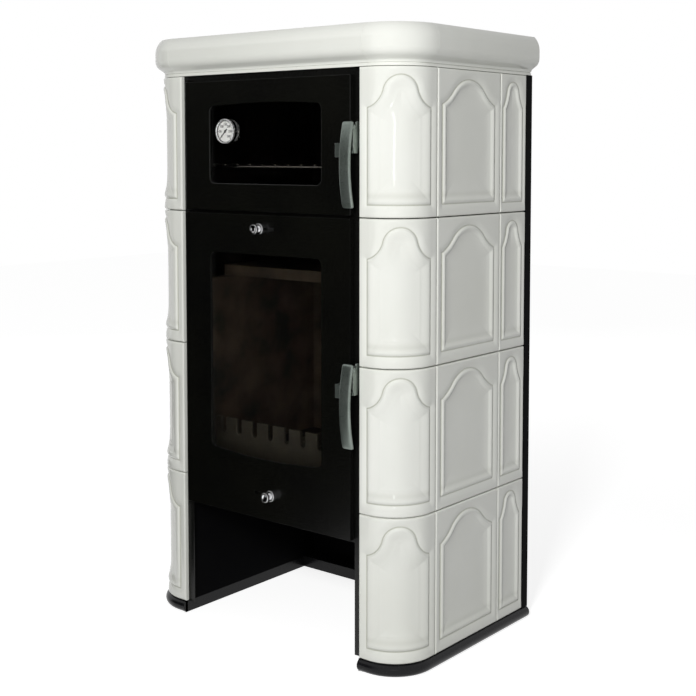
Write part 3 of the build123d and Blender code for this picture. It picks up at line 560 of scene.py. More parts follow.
# ================================================================ runs round the body
def corner_path(x0, y1, step):
    """Points round the right-hand corner at the tiled face, and the outward direction at each."""
    lead, quarter, tail = arc_x - x0, corner_radius * pi / 2, y1 - arc_y
    stations = [[0, lead], lead + np.linspace(0, quarter, int(quarter / step) + 1), [lead + quarter + tail]]
    s = np.unique(np.round(np.concatenate(stations), 7))
    turn = np.clip((s - lead) / corner_radius, 0, pi / 2)
    outward = np.stack([np.sin(turn), -np.cos(turn)], axis=-1)
    x = arc_x + corner_radius * outward[:, 0] + np.minimum(s - lead, 0)
    y = arc_y + corner_radius * outward[:, 1] + np.maximum(s - lead - quarter, 0)
    return np.stack([x, y], axis=-1), outward


def carried(path, outward, profile, foot_z):
    """Profile of (outward, up) points carried along a plan path: path + o * outward, foot + up."""
    out, up = profile.T
    plan = path[:, None] + out[None, :, None] * outward[:, None]
    z = np.broadcast_to(foot_z + up[None, :], plan.shape[:2])
    return np.concatenate([plan, z[..., None]], axis=-1)


def add_plinth():
    """Two legs whose half-round nose runs round the corners, and a bar between them at the back."""
    height = plinth_high[2]
    nose = arc(plinth_ledge - height / 2, height / 2, height / 2, -90, 90, 15)
    path, outward = corner_path(half_opening, rear_y, path_step)
    run = carried(path, outward, nose, 0.0)
    inner = run[:, [0, -1]].copy()
    inner[..., 0] = half_opening
    inner[..., 1] = path[:, None, 1]
    leg = np.concatenate([inner[:, :1], run, inner[:, 1:]], axis=1)
    bar = block((-half_opening, rear_y - plinth_bar, 0.0), (half_opening, rear_y, height))
    parts = [solid("leg_right", leg), solid("leg_left", left_of(leg)), solid("bar", bar)]
    piece("plinth_body", joined("plinth_body", parts), "stove", "plinth_enamel", ["plinth"])


def cornice_section():
    """Section of the cornice as (outward, up) points.

    A hollow arc leaves the band upright, a straight flank slopes out to a round arc, an upright
    belly follows, and a larger arc rolls back to the crown.  A fine groove parts the band from the
    hollow, and the back is open.
    """
    height = cornice_high[2] - cornice_low[2]
    hollow = arc(cornice_cove - cornice_inset, cornice_band, cornice_cove, 180, 180 - cornice_flank, 12)
    belly = arc(cornice_roll - cornice_round, cornice_belly_low, cornice_round, -cornice_flank, 0, 14)
    crown_turn = np.degrees(asin((height - cornice_belly_high) / cornice_bow))
    crown = arc(cornice_roll - cornice_bow, cornice_belly_high, cornice_bow, 0, crown_turn, 22)
    inner_head = height - cornice_wall
    inner_foot = cornice_band + cornice_neck_rise + cornice_wall
    groove = cornice_band - cornice_groove_width
    back = [
        (-cornice_depth, height), (-cornice_depth, inner_head), (cornice_hollow, inner_head),
        (cornice_hollow, inner_foot), (-cornice_depth, inner_foot), (-cornice_depth, 0.0),
        (-cornice_inset, 0.0), (-cornice_inset, groove), (-cornice_inset - cornice_groove, groove),
        (-cornice_inset - cornice_groove, cornice_band),
    ]
    return np.concatenate([hollow, belly, crown, np.array(back)])


def add_cornice():
    """Front length, two corners and two sides, with a fine joint between them."""
    section = cornice_section()
    foot_z = cornice_low[2]
    gap = cornice_joint / 2
    front_end = arc_x - gap
    front_path = np.array([[-front_end, face_y], [front_end, face_y]])
    front_out = np.array([[0.0, -1.0], [0.0, -1.0]])
    side_path = np.array([[face_x, arc_y + gap], [face_x, rear_y]])
    side_out = np.array([[1.0, 0.0], [1.0, 0.0]])
    corner_line, corner_out = corner_path(arc_x, arc_y, path_step / 2)
    runs = {
        "cornice_front": carried(front_path, front_out, section, foot_z),
        "cornice_corner_right": carried(corner_line, corner_out, section, foot_z),
        "cornice_side_right": carried(side_path, side_out, section, foot_z),
    }
    runs["cornice_corner_left"] = left_of(runs["cornice_corner_right"])
    runs["cornice_side_left"] = left_of(runs["cornice_side_right"])
    for name, points in runs.items():
        mesh = surface(name, points, wrap_columns=True, capped=True, sharp=28.0)
        round_edges(piece(name, mesh, "stove", "glazed_tile", ["cornice"]), cornice_edge, angle=28.0)


# ================================================================ handles
def lever_blade(low, high):
    """Bowed lever: a rounded flat section carried along a shallow arc, narrowing at both ends.

    section: sign(cos a) |cos a|^(2/n) across and sign(sin a) |sin a|^(2/n) through;
    bow: (1 - (2 t - 1)^2) times the bow's height, outwards.
    """
    t = np.concatenate([[0, 0.004, 0.012, 0.022], np.linspace(0.04, 0.96, 30), [0.978, 0.988, 0.996, 1]])
    length = high[2] - low[2]
    z = low[2] + t * length
    bow = lever_bow * (1 - (2 * t - 1) ** 2)
    from_end = np.minimum(t, 1 - t) * length
    fullness = np.sqrt(np.clip(1 - (1 - np.minimum(from_end / lever_end, 1)) ** 2, 0, 1))
    half_width = lever_width / 2 - lever_end * (1 - fullness)
    half_thickness = lever_thickness / 2 * (lever_end_share + (1 - lever_end_share) * fullness)
    angle = np.linspace(0, 2 * pi, 40, endpoint=False)
    power = 2 / lever_squareness
    across = np.sign(np.cos(angle)) * np.abs(np.cos(angle)) ** power
    through = np.sign(np.sin(angle)) * np.abs(np.sin(angle)) ** power
    x = high[0] - lever_width / 2 + half_width[:, None] * across
    y = low[1] + lever_bow + lever_thickness / 2 - bow[:, None] + half_thickness[:, None] * through
    return np.stack([x, y, np.broadcast_to(z[:, None], x.shape)], axis=-1)


def add_lever(door, low, high, door_front, door_edge, pivot, cheeks):
    """Bowed lever with the hub that turns on the pin, the arm that joins them and the latch tongue."""
    pivot_y, pivot_z = pivot[1:]
    hub_0 = cheeks[0] + cheek_thickness + hub_side_gap
    hub_1 = cheeks[1] - hub_side_gap
    hub_profile = [(0, hub_0), (hub_radius, hub_0), (hub_radius, hub_1), (0, hub_1)]
    arm_front = door_front - lever_standoff - lever_bow / 2
    arm = block((hub_0, arm_front, pivot_z - hub_radius), (hub_1, pivot_y, pivot_z + hub_radius))
    head = pivot_z - tongue_drop
    foot = head - tongue_height
    tip = high[1] - tongue_height / 2
    outline = [
        (pivot_y, head), (high[1], head), (high[1], head - tongue_height / 2), (tip, foot), (pivot_y, foot)
    ]
    tongue_0 = door_edge + tongue_side_gap
    parts = [
        solid("blade", lever_blade(low, high)),
        lathe("hub", 0, pivot, hub_profile, 32),
        solid("arm", arm),
        solid("tongue", prism(0, outline, tongue_0, tongue_0 + tongue_width)),
    ]
    name = f"{door}_lever_body"
    lever = piece(name, joined(name, parts), f"{door}_lever", "handle_paint", [f"{door}_handle_lever"])
    round_edges(lever, bracket_edge / 2, angle=50.0)


def add_bracket(door, lever_left, door_front, pivot, cheeks):
    """Foot on the door's face, two cheeks, the bridge between them, and the pin through them."""
    pivot_y, pivot_z = pivot[1:]
    left_cheek, right_cheek = cheeks
    foot = pivot_z - cheek_drop
    head = pivot_z + pivot_drop
    front = pivot_y - hub_radius
    back = door_front + cheek_reach
    nose = [(door_front, foot), (front + cheek_taper / 4, foot), (front, foot + cheek_taper)]
    nose += arc(pivot_y, pivot_z, hub_radius, 180, 0, 13).tolist()
    left_outline = nose + [(door_front, pivot_z)]
    head_front = door_front + cheek_clearance
    right_outline = nose + [
        (head_front, head - cheek_bevel), (head_front + cheek_bevel, head), (back, head),
        (back, foot + cheek_taper), (back - cheek_taper / 3, foot),
    ]
    pad_right = lever_left + foot_lap
    pad_left = pad_right - foot_width
    pad_front = door_front - foot_depth
    pad_low = foot - foot_drop
    pad = [(pad_left, door_front), (pad_left, pad_front), (pad_right, pad_front), (pad_right, door_front)]
    bridge = block(
        (left_cheek, front + bridge_lap, foot),
        (right_cheek + bridge_lap, door_front - bridge_gap, foot + bridge_height),
    )
    parts = [
        solid("foot", prism(2, pad, pad_low, pad_low + foot_height)),
        solid("left_cheek", prism(0, left_outline, left_cheek, left_cheek + cheek_thickness)),
        solid("right_cheek", prism(0, right_outline, right_cheek, right_cheek + cheek_thickness)),
        solid("bridge", bridge),
    ]
    node = f"{door}_handle_bracket"
    name = f"{node}_body"
    round_edges(piece(name, joined(name, parts), f"{door}_door", "handle_paint", [node]), bracket_edge)

    pin_face = right_cheek + cheek_thickness
    turn = np.radians(np.linspace(0, 90, 7))
    dome = np.stack([pin_head / 2 * np.cos(turn), pin_face + pin_head_height * np.sin(turn)], axis=-1)
    profile = [(0, left_cheek), (pin_radius, left_cheek), (pin_radius, pin_face), (pin_head / 2, pin_face)]
    name = f"{door}_lever_pin"
    pin = lathe(name, 0, pivot, profile + dome[1:].tolist(), 32)
    piece(name, pin, f"{door}_door", "handle_paint", [node])


def add_handle(door):
    """One door's lever and its bracket, which share the pivot and the places of the cheeks."""
    low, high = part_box(f"{door}_handle_lever")
    door_low, door_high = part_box(f"{door}_door")
    pivot = (0, door_low[1] - pivot_standoff, high[2] - pivot_drop)
    cheeks = (low[0] + cheek_inset, high[0] - cheek_inset - cheek_thickness)
    add_lever(door, low, high, door_low[1], door_high[0], pivot, cheeks)
    add_bracket(door, low[0], door_low[1], pivot, cheeks)


# ================================================================ air knobs
def add_air_knob(node):
    """Turned knob with its disc, neck and flange, its stem through the door and the shutter plate."""
    low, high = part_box(node)
    centre = ((low[0] + high[0]) / 2, 0, (low[2] + high[2]) / 2)
    tip, plate_back = low[1], high[1]
    face = tip + knob_standoff
    plate_front = plate_back - slide_plate_thickness
    disc = knob_disc / 2
    neck = knob_neck / 2
    flange = knob_flange / 2
    disc_back = tip + knob_disc_thickness
    flange_front = face - knob_flange_thickness
    edge = knob_edge
    recess = tip + knob_recess
    profile = [(0, recess), (disc * recess_share, recess), (disc * slope_share, tip)]
    profile += arc(disc - edge, tip + edge, edge, -90, 0, 5).tolist()
    profile += arc(disc - edge, disc_back - edge, edge, 0, 90, 5).tolist()
    profile += arc(neck + edge, disc_back + edge, edge, 270, 180, 5).tolist()
    profile += arc(neck + edge, flange_front - edge, edge, 180, 90, 5).tolist()
    profile += arc(flange - edge, flange_front + edge, edge, -90, 0, 5).tolist()
    profile += [(flange, face), (slide_stem / 2, face), (slide_stem / 2, plate_front), (0, plate_front)]
    knob = lathe("knob", 1, centre, profile, sharp=50.0)
    half = slide_plate_height / 2
    plate = block((low[0], plate_front, centre[2] - half), (high[0], plate_back, centre[2] + half))
    knob_name = node.replace("slide", "knob")
    shutter_name = node.replace("slide", "shutter")
    piece(knob_name, knob, node, "knob_chrome", [node])
    piece(shutter_name, solid(shutter_name, plate), node, "front_paint", [node])


# ================================================================ thermometer
def add_dial_case(low, high, centre, dial_face, glass_front, glass_back):
    """Dark barrel, and the bright metal: rounded bezel, needle's pivot, and probe with its two nuts."""
    radius = dial_diameter / 2
    case = ["thermometer_case"]
    bezel_back = low[1] + bezel_depth
    barrel = radius - barrel_inset
    profile = [(0, bezel_back), (barrel, bezel_back), (barrel, glass_front), (0, glass_front)]
    mesh = lathe("thermometer_barrel", 1, centre, profile, dial_steps)
    piece("thermometer_barrel", mesh, "oven_door", "needle_paint", case)

    crest = arc(radius - dial_bezel / 2, low[1] + dial_bezel / 2, dial_bezel / 2, -180, 0, 13)
    bezel_profile = [(0, dial_face), (radius - dial_bezel, dial_face)] + crest.tolist()
    bezel_profile += [(radius, bezel_back), (0, bezel_back)]
    probe = probe_diameter / 2
    probe_end = high[1] - probe
    probe_profile = [(0, glass_front), (probe, glass_front), (probe, probe_end)]
    probe_profile += arc(0, probe_end, probe, 0, 90, 7)[1:].tolist()
    pivot = needle_pivot / 2
    pivot_tip = dial_face - needle_reach
    pivot_foot = dial_face + dial_skin
    pivot_profile = [
        (0, pivot_foot), (pivot, pivot_foot), (pivot, pivot_tip + dial_edge),
        (pivot - dial_edge, pivot_tip), (0, pivot_tip),
    ]
    parts = [
        lathe("bezel", 1, centre, bezel_profile, dial_steps),
        lathe("probe", 1, centre, probe_profile, 32),
        lathe("pivot", 1, centre, pivot_profile, 24),
    ]
    stop_front = glass_back + nut_thickness + stop_nut_gap
    for width, start, thickness in (
        (nut_width, glass_back, nut_thickness), (stop_nut_width, stop_front, stop_nut_thickness)
    ):
        outline = arc(centre[0], centre[2], width / 2, 0, 300, 6)
        parts.append(solid("nut", prism(1, outline, start, start + thickness)))
    body = piece("thermometer_body", joined("thermometer_body", parts), "oven_door", "dial_steel", case)
    round_edges(body, dial_edge, angle=50.0)


def add_dial(centre, dial_face):
    """White disc, a dark ring of painted shade round its edge, and its marks and figures."""
    case = ["thermometer_case"]
    disc = dial_diameter / 2 - dial_bezel - dial_gap
    skin_front = dial_face - dial_skin
    profile = [(0, skin_front), (disc, skin_front), (disc, dial_face), (0, dial_face)]
    mesh = lathe("thermometer_dial", 1, centre, profile, dial_steps)
    piece("thermometer_dial", mesh, "oven_door", "dial_white", case)

    ink_front = skin_front - ink
    # painted shade: a dark ring round the dial's edge, where the bezel's recess shades it
    ring = [(shade_ring_inner, skin_front), (shade_ring_inner, ink_front), (disc, ink_front), (disc, skin_front)]
    marks = [lathe("ring", 1, centre, ring, dial_steps, wrap_rows=True)]
    middle = np.array([centre[0], centre[2]])
    count = (figure_count - 1) * marks_between + 1
    for index in range(count):
        turn = radians(-mark_sweep / 2 + mark_sweep * index / (count - 1))
        main = index % marks_between == 0
        inner = long_mark_inner if main else mark_inner
        width = mark_width * (2 if main else 1)
        outward = np.array([sin(turn), cos(turn)])
        across = np.array([cos(turn), -sin(turn)]) * width / 2
        outline = [
            middle + outward * inner - across, middle + outward * mark_outer - across,
            middle + outward * mark_outer + across, middle + outward * inner + across,
        ]
        marks.append(solid("mark", prism(1, outline, ink_front, skin_front)))
        if main:
            x, z = middle + outward * figure_radius
            text = str(figure_step * index // marks_between)
            marks.append(figure(text, x, skin_front - ink / 2, z))
    piece("thermometer_marks", joined("thermometer_marks", marks), "oven_door", "needle_paint", case)


def add_thermometer():
    """Dial thermometer, whose probe goes through the oven door's glass."""
    low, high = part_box("thermometer_case")
    centre = ((low[0] + high[0]) / 2, 0, (low[2] + high[2]) / 2)
    glass_front, glass_back = (corner[1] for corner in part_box("oven_glass"))
    dial_face = glass_front - dial_floor
    add_dial_case(low, high, centre, dial_face, glass_front, glass_back)
    add_dial(centre, dial_face)


def figure(text, x, y, z):
    """Number on the dial, set upright with its middle at a point."""
    curve = bpy.data.curves.new(f"figure_{text}", "FONT")
    curve.body = text
    curve.size = figure_size
    curve.offset = figure_weight
    curve.align_x = "CENTER"
    curve.align_y = "CENTER"
    curve.extrude = ink / 2
    holder = bpy.data.objects.new(f"figure_{text}", curve)
    mesh = bpy.data.meshes.new_from_object(holder)
    bpy.data.objects.remove(holder)
    flat = np.empty(len(mesh.vertices) * 3)
    mesh.vertices.foreach_get("co", flat)
    right, up, out = flat.reshape(-1, 3).T
    mesh.vertices.foreach_set("co", np.stack([x + right, y - out, z + up], axis=-1).ravel())
    mesh.materials.clear()
    return mesh


# ================================================================ ropes, rack and log guard
def rope_path(half_x, half_z):
    """Closed loop of points: straight runs joined by quarter circles, one rope step apart."""
    run_x, run_z = half_x - rope_corner, half_z - rope_corner
    quarter = rope_corner * pi / 2
    runs = []
    for sign_x, sign_z, start, length in (
        (1, -1, -90, 2 * run_z), (1, 1, 0, 2 * run_x), (-1, 1, 90, 2 * run_z), (-1, -1, 180, 2 * run_x)
    ):
        bend = arc(
            sign_x * run_x, sign_z * run_z, rope_corner, start, start + 90, int(quarter / rope_step) + 1
        )
        ahead = np.array([-sin(radians(start + 90)), cos(radians(start + 90))])
        stations = np.linspace(0, length, int(length / rope_step) + 1)[1:-1]
        runs += [bend, bend[-1] + stations[:, None] * ahead]
    return np.concatenate(runs)


def add_rope(door):
    """Braided sealing rope: a round section that swells where its strands cross, carried round a loop.

    radius = r (1 + depth cos(4 a + k s) cos(4 a - k s)), with s the length along the loop
    """
    low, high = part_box(f"{door}_door_rope")
    centre_x, centre_z = (low[0] + high[0]) / 2, (low[2] + high[2]) / 2
    path = rope_path((high[0] - low[0]) / 2 - rope_radius, (high[2] - low[2]) / 2 - rope_radius)
    ahead = np.roll(path, -1, axis=0) - np.roll(path, 1, axis=0)
    ahead /= np.linalg.norm(ahead, axis=1, keepdims=True)
    steps = np.linalg.norm(np.roll(path, -1, axis=0) - path, axis=1)
    travelled = np.cumsum(steps) - steps[0]
    length = steps.sum()
    wave = 2 * pi * round(length / braid_pitch) / length
    angle = np.linspace(0, 2 * pi, 20, endpoint=False)
    phase = wave * travelled[:, None]
    braid = np.cos(4 * angle + phase) * np.cos(4 * angle - phase)
    radius = rope_radius * (1 - braid_depth + braid_depth * braid)
    out = radius * np.cos(angle)
    points = np.empty((*radius.shape, 3))
    points[..., 0] = centre_x + path[:, :1] + out * ahead[:, 1:]
    points[..., 1] = high[1] - rope_gap - rope_radius + radius * np.sin(angle)
    points[..., 2] = centre_z + path[:, 1:] - out * ahead[:, :1]
    name = f"{door}_sealing_rope"
    mesh = surface(name, points, wrap_rows=True, wrap_columns=True, sharp=60.0)
    piece(name, mesh, f"{door}_door", "rope", [f"{door}_door_rope"])


def wire(axis, centre, low, high):
    """Round wire with rounded ends, along one axis from low to high."""
    radius = rack_wire / 2
    ends = [arc(low + radius, 0, radius, 180, 90, 5), arc(high - radius, 0, radius, 90, 0, 5)]
    return lathe("wire", axis, centre, np.concatenate(ends)[:, ::-1], 16)


def add_rack():
    """Barred oven rack: two cross wires at its ends and a row of wires on top of them."""
    low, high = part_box("oven_rack")
    radius = rack_wire / 2
    rail = low[2] + radius
    top = high[2] - radius
    wires = [wire(0, (0, y, rail), low[0], high[0]) for y in (low[1] + radius, high[1] - radius)]
    for x in np.linspace(low[0] + radius, high[0] - radius, rack_bars):
        wires.append(wire(1, (x, 0, top), low[1], high[1]))
    piece("oven_rack_wires", joined("oven_rack_wires", wires), "stove", "rack_steel", ["oven_rack"])


# ================================================================ finishes
def add_node(tree, kind, inputs=None, **settings):
    """Adds a shader node, sets its options, and links or sets its inputs."""
    made = tree.nodes.new(kind)
    for key, value in settings.items():
        setattr(made, key, value)
    for key, value in (inputs or {}).items():
        if isinstance(value, bpy.types.NodeSocket):
            tree.links.new(value, made.inputs[key])
        else:
            made.inputs[key].default_value = value
    return made


def start_group(name, inputs, outputs):
    """Empty shader group with named inputs (name: kind, value) and outputs (name: kind)."""
    tree = bpy.data.node_groups.new(name, "ShaderNodeTree")
    for label, (kind, value) in inputs.items():
        socket = tree.interface.new_socket(label, in_out="INPUT", socket_type=f"NodeSocket{kind}")
        socket.default_value = value
    for label, kind in outputs.items():
        tree.interface.new_socket(label, in_out="OUTPUT", socket_type=f"NodeSocket{kind}")
    groups[name] = tree
    return tree, tree.nodes.new("NodeGroupInput").outputs


def calculated(tree, operation, first, second, kind="Math"):
    """Outputs of a math node."""
    return add_node(tree, f"ShaderNode{kind}", {0: first, 1: second}, operation=operation).outputs


def effect(tree, name, **inputs):
    """Outputs of a shared effect."""
    return add_node(tree, "ShaderNodeGroup", inputs, node_tree=groups[name]).outputs


def mix(tree, factor, first, second):
    """Colour that goes from the first to the second with a factor."""
    return add_node(tree, "ShaderNodeMix", {0: factor, 6: first, 7: second}, data_type="RGBA").outputs[2]


def spread(tree, value, low, high, to_low=0.0, to_high=1.0):
    """A value stretched from one range to another."""
    ranges = {"Value": value, "From Min": low, "From Max": high, "To Min": to_low, "To Max": to_high}
    return add_node(tree, "ShaderNodeMapRange", ranges).outputs["Result"]


def noise(tree, place, scale, detail=3.0, roughness=0.5):
    """Noise between 0 and 1 at a place."""
    inputs = {"Vector": place, "Scale": scale, "Detail": detail, "Roughness": roughness}
    return add_node(tree, "ShaderNodeTexNoise", inputs).outputs["Fac"]


def object_place(tree):
    """Position on the object."""
    return add_node(tree, "ShaderNodeTexCoord").outputs["Object"]


def make_groups():
    """Effects that several finishes share: uneven tone, surface grain, and lighter edges, which are wear on
    most finishes and a painted highlight on the handles.
    """
    tree, given = start_group(
        "uneven_tone",
        {"Colour": ("Color", (1, 1, 1, 1)), "Second": ("Color", (1, 1, 1, 1)), "Scale": ("Float", 5.0)},
        {"Colour": "Color"},
    )
    patch = noise(tree, object_place(tree), given["Scale"], 4.0, 0.55)
    tone = mix(tree, spread(tree, patch, *tone_patches), given["Colour"], given["Second"])
    add_node(tree, "NodeGroupOutput", {"Colour": tone})

    tree, given = start_group(
        "surface_grain",
        {"Scale": ("Float", 200.0), "Stretch": ("Vector", (1, 1, 1))},
        {"Grain": "Float"},
    )
    place = calculated(tree, "MULTIPLY", object_place(tree), given["Stretch"], "VectorMath")[0]
    grain = noise(tree, place, given["Scale"], 5.0, 0.6)
    add_node(tree, "NodeGroupOutput", {"Grain": grain})

    tree, given = start_group(
        "edge_wear_and_highlight",
        {"Colour": ("Color", (1, 1, 1, 1)), "Worn": ("Color", (1, 1, 1, 1)), "Width": ("Float", 0.002)},
        {"Colour": "Color", "Mask": "Float"},
    )
    # lighter along the edges: wear, and on the handles a painted highlight
    rounded = add_node(tree, "ShaderNodeBevel", {"Radius": given["Width"]}, samples=4).outputs["Normal"]
    flat = add_node(tree, "ShaderNodeNewGeometry").outputs["True Normal"]
    along = calculated(tree, "DOT_PRODUCT", rounded, flat, "VectorMath")["Value"]
    edge = spread(tree, along, *wear_and_highlight_turn)
    broken = spread(tree, noise(tree, object_place(tree), wear_and_highlight_scale, 4.0, 0.65), *wear_and_highlight_patches)
    mask = calculated(tree, "MULTIPLY", edge, broken)[0]
    wear_and_highlight = mix(tree, mask, given["Colour"], given["Worn"])
    add_node(tree, "NodeGroupOutput", {"Colour": wear_and_highlight, "Mask": mask})


def coated(
    name, colour, second, roughness, patch=6.0, drift=0.06, grain=300.0, bump=0.00002, stretch=(1, 1, 1),
    wear_and_highlight=None, **constants
):
    """A finish with an uneven tone, fine grain in its gloss and height, and lighter edges if it has an edge
    colour: wear, and on the handles a painted highlight.

    Constants are the shader's inputs of the same name, written with underscores.
    """
    material = bpy.data.materials.new(name)
    material.use_nodes = True
    finishes[name] = material
    tree = material.node_tree
    shader = tree.nodes["Principled BSDF"]
    tone = effect(tree, "uneven_tone", Colour=(*colour, 1), Second=(*second, 1), Scale=patch)["Colour"]
    if wear_and_highlight:
        tone = effect(tree, "edge_wear_and_highlight", Colour=tone, Worn=(*wear_and_highlight, 1), Width=wear_and_highlight_width)["Colour"]
    texture = effect(tree, "surface_grain", Scale=grain, Stretch=stretch)["Grain"]
    tree.links.new(tone, shader.inputs["Base Color"])
    gloss = spread(tree, texture, *grain_range, roughness - drift, roughness + drift)
    tree.links.new(gloss, shader.inputs["Roughness"])
    raised = add_node(tree, "ShaderNodeBump", {"Height": texture, "Distance": bump, "Strength": 1.0})
    tree.links.new(raised.outputs["Normal"], shader.inputs["Normal"])
    for key, value in constants.items():
        shader.inputs[key.replace("_", " ").title().replace("Ior", "IOR")].default_value = value
    return material


def make_glaze():
    """Warm white glaze: painted shade darkens it, a little yellower, along the creases, it gathers yellower
    above each panel's foot, and its surface waves a little.
    """
    material = coated(
        "glazed_tile", glaze_white, glaze_warm, 0.10, patch=3.5, drift=0.03, grain=240.0, bump=0.000012
    )
    tree = material.node_tree
    shader = tree.nodes["Principled BSDF"]
    tone = shader.inputs["Base Color"].links[0].from_socket
    # painted crease shade and gathered glaze, mixed into the glaze's colour
    pool_and_crease_shade = add_node(tree, "ShaderNodeAttribute", attribute_name="pool_and_crease_shade").outputs["Fac"]
    pooled_and_shaded = mix(tree, pool_and_crease_shade, tone, (*pooled_glaze_and_shade, 1))
    tree.links.new(pooled_and_shaded, shader.inputs["Base Color"])
    wave = noise(tree, object_place(tree), wave_scale, 1.0)
    fine = shader.inputs["Normal"].links[0].from_node
    waved = add_node(tree, "ShaderNodeBump", {"Height": wave, "Distance": wave_height, "Strength": 1.0})
    tree.links.new(waved.outputs["Normal"], fine.inputs["Normal"])


def make_finishes():
    """Every finish of the stove."""
    make_groups()
    make_glaze()
    coated(
        "plinth_enamel", (0.006, 0.006, 0.007), (0.009, 0.009, 0.010), 0.24, wear_and_highlight=(0.03, 0.03, 0.03),
        specular_ior_level=0.2,
    )
    coated(
        "casing_paint", (0.0018, 0.0018, 0.0022), (0.003, 0.003, 0.0033), 0.6, grain=900.0,
        specular_ior_level=0.02,
    )
    coated(
        "front_paint", black, (0.0035, 0.0035, 0.0030), 0.30, grain=900.0, wear_and_highlight=(0.007, 0.007, 0.007),
        specular_ior_level=0.3,
    )
    coated(
        "door_enamel", black, (0.0036, 0.0037, 0.0028), 0.25, grain=900.0, bump=0.00001,
        wear_and_highlight=(0.007, 0.007, 0.007), specular_ior_level=0.3,
    )
    # painted highlight: the handles' edges are painted bright
    coated(
        "handle_paint", (0.24, 0.275, 0.25), (0.17, 0.20, 0.18), 0.30, patch=30.0, grain=700.0,
        wear_and_highlight=(0.60, 0.62, 0.60), metallic=0.8,
    )
    coated(
        "knob_chrome", (0.80, 0.80, 0.81), (0.72, 0.72, 0.74), 0.10, patch=60.0, drift=0.05, metallic=1.0
    )
    coated(
        "dial_steel", (0.86, 0.86, 0.86), (0.80, 0.80, 0.80), 0.26, patch=60.0, drift=0.05, metallic=1.0
    )
    coated("dial_white", (0.80, 0.80, 0.77), (0.74, 0.74, 0.71), 0.35, patch=90.0, bump=0.00001)
    coated("needle_paint", (0.012, 0.012, 0.012), (0.02, 0.02, 0.02), 0.45, patch=90.0)
    coated(
        "clip_steel", (0.42, 0.42, 0.43), (0.34, 0.34, 0.35), 0.34, patch=40.0, drift=0.1, grain=400.0,
        stretch=(1, 1, 12), metallic=1.0,
    )
    coated(
        "rack_steel", (0.58, 0.58, 0.59), (0.48, 0.47, 0.45), 0.22, patch=25.0, drift=0.08, grain=500.0,
        metallic=1.0,
    )
    coated(
        "rope", (0.42, 0.40, 0.36), (0.30, 0.28, 0.25), 0.9, patch=60.0, drift=0.05, grain=1500.0,
        bump=0.0002,
    )
    coated(
        "firebrick", (0.10, 0.076, 0.055), (0.030, 0.027, 0.024), 0.9, patch=14.0, drift=0.05,
        grain=260.0, bump=0.0006,
    )
    coated(
        "boiler_steel", (0.008, 0.008, 0.008), (0.016, 0.014, 0.013), 0.65, patch=9.0, grain=350.0,
        bump=0.0001, specular_ior_level=0.2,
    )
    coated(
        "cast_iron", (0.060, 0.058, 0.050), (0.085, 0.080, 0.066), 0.62, patch=20.0, grain=420.0,
        bump=0.0003, wear_and_highlight=(0.16, 0.15, 0.13), metallic=0.3,
    )
    coated(
        "oven_enamel", (0.006, 0.006, 0.007), (0.011, 0.011, 0.012), 0.28, patch=8.0, grain=500.0,
        specular_ior_level=0.2,
    )
    coated(
        "door_glass", (0.72, 0.70, 0.66), (0.64, 0.62, 0.58), 0.03, patch=5.0, drift=0.015, grain=60.0,
        bump=0.000003, transmission_weight=1.0, ior=1.5,
    )


def dress_nodes():
    """Gives each CAD node its finish."""
    for name, slot in slot_of.items():
        slots = frame["nodes"][name].data.materials
        slots.clear()
        slots.append(finishes[slot])


# ================================================================ studio
def add_stage_card(name, points, grey):
    """Flat matt card of the studio, which isn't part of the stove."""
    mesh = bpy.data.meshes.new(name)
    mesh.from_pydata(points, [], [tuple(range(len(points)))])
    card = add_object(name, mesh)
    material = bpy.data.materials.new(name)
    material.use_nodes = True
    shader = material.node_tree.nodes["Principled BSDF"]
    shader.inputs["Base Color"].default_value = (grey, grey, grey, 1)
    shader.inputs["Roughness"].default_value = 1.0
    shader.inputs["Specular IOR Level"].default_value = 0.0
    mesh.materials.append(material)
    return card


def sees_background(tree):
    """1 for rays from the camera, a mirror or a glass, 0 for the light that falls on the stove."""
    path = add_node(tree, "ShaderNodeLightPath").outputs
    direct = calculated(tree, "MAXIMUM", path["Is Camera Ray"], path["Is Glossy Ray"])[0]
    return calculated(tree, "MAXIMUM", direct, path["Is Transmission Ray"])[0]


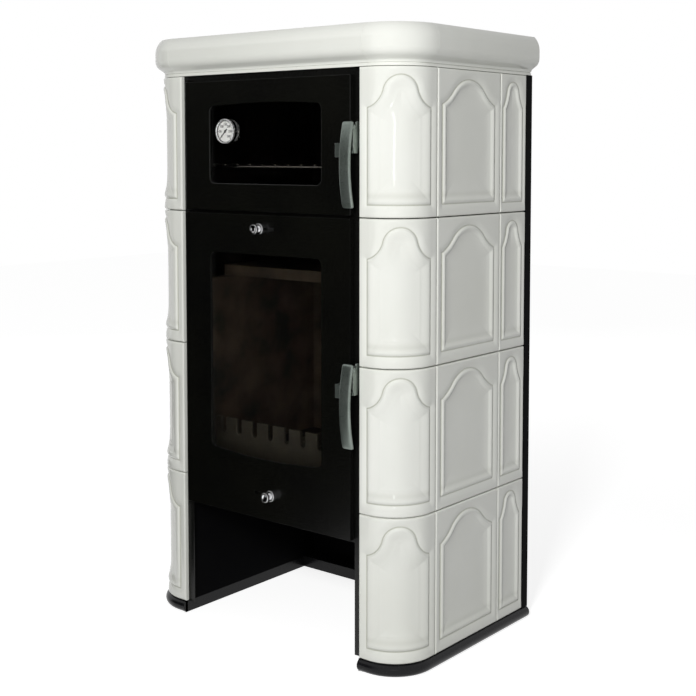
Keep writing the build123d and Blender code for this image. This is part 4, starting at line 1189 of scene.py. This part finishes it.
def add_studio():
    """Pale floor that keeps the shadow, white surroundings, and two dark cards that only mirrors see."""
    scene = bpy.context.scene
    scene.view_settings.view_transform = "Standard"
    world = bpy.data.worlds.new("studio")
    scene.world = world
    world.use_nodes = True
    tree = world.node_tree
    background = tree.nodes["Background"]
    background.inputs["Color"].default_value = (1, 1, 1, 1)
    strength = spread(tree, sees_background(tree), 0.0, 1.0, sky_light, 1.0)
    tree.links.new(strength, background.inputs["Strength"])

    reach = floor_reach
    corners = [(-reach, -reach, 0), (reach, -reach, 0), (reach, reach, 0), (-reach, reach, 0)]
    floor = add_stage_card("floor", corners, floor_grey)
    tree = floor.data.materials[0].node_tree
    shader = tree.nodes["Principled BSDF"]
    shader.inputs["Emission Color"].default_value = (1, 1, 1, 1)
    distance = add_node(tree, "ShaderNodeVectorMath", {0: object_place(tree)}, operation="LENGTH")
    glow = spread(tree, distance.outputs["Value"], near_floor, far_floor, near_glow, far_glow)
    seen = calculated(tree, "MULTIPLY", glow, sees_background(tree))[0]
    tree.links.new(seen, shader.inputs["Emission Strength"])

    near, far = (*card_near, card_foot), (*card_far, card_foot)
    cards = {
        "dark_card": [near, far, (*card_far, card_height), (*card_near, card_height)],
        "dark_cloth": [near, (*cloth_near, card_foot), (*cloth_far, card_foot), far],
    }
    for name, points in cards.items():
        card = add_stage_card(name, points, card_grey)
        card.visible_camera = False
        card.visible_diffuse = False
        card.visible_shadow = False


def add_light(name, place, aim, size, power):
    """Soft rectangular light that faces a point; returns its object."""
    data = bpy.data.lights.new(name, "AREA")
    data.shape = "RECTANGLE"
    data.size, data.size_y = size
    data.energy = power
    light = add_object(name, data)
    light.location = place
    direction = np.array(aim) - np.array(place)
    lift = np.arctan2(direction[2], np.hypot(direction[0], direction[1]))
    light.rotation_euler = (pi / 2 + lift, 0, np.arctan2(-direction[0], direction[1]))
    return light


def add_camera():
    """Camera at the photograph's viewpoint."""
    data = bpy.data.cameras.new("camera")
    camera = add_object("camera", data)
    bpy.context.scene.camera = camera
    data.sensor_width = sensor
    data.lens = focal_px / photo_size * sensor
    data.shift_y = (horizon_centre_px - photo_size / 2) / photo_size
    camera.location = camera_place
    camera.rotation_euler = (pi / 2 - camera_pitch, 0, camera_yaw)


make_finishes()
dress_nodes()
add_tiles()
add_plinth()
add_cornice()
for door in ("oven", "fire"):
    add_handle(door)
    add_rope(door)
for slide in ("upper_air_slide", "lower_air_slide"):
    add_air_knob(slide)
add_thermometer()
add_rack()
for name, width in softened.items():
    soften(name, width)
add_studio()
add_light("key", key_place, key_aim, key_size, key_power).visible_glossy = False
add_light("spark", spark_place, spark_aim, spark_size, spark_power)
add_light("back", back_place, back_aim, back_size, back_power).visible_glossy = False
add_camera()
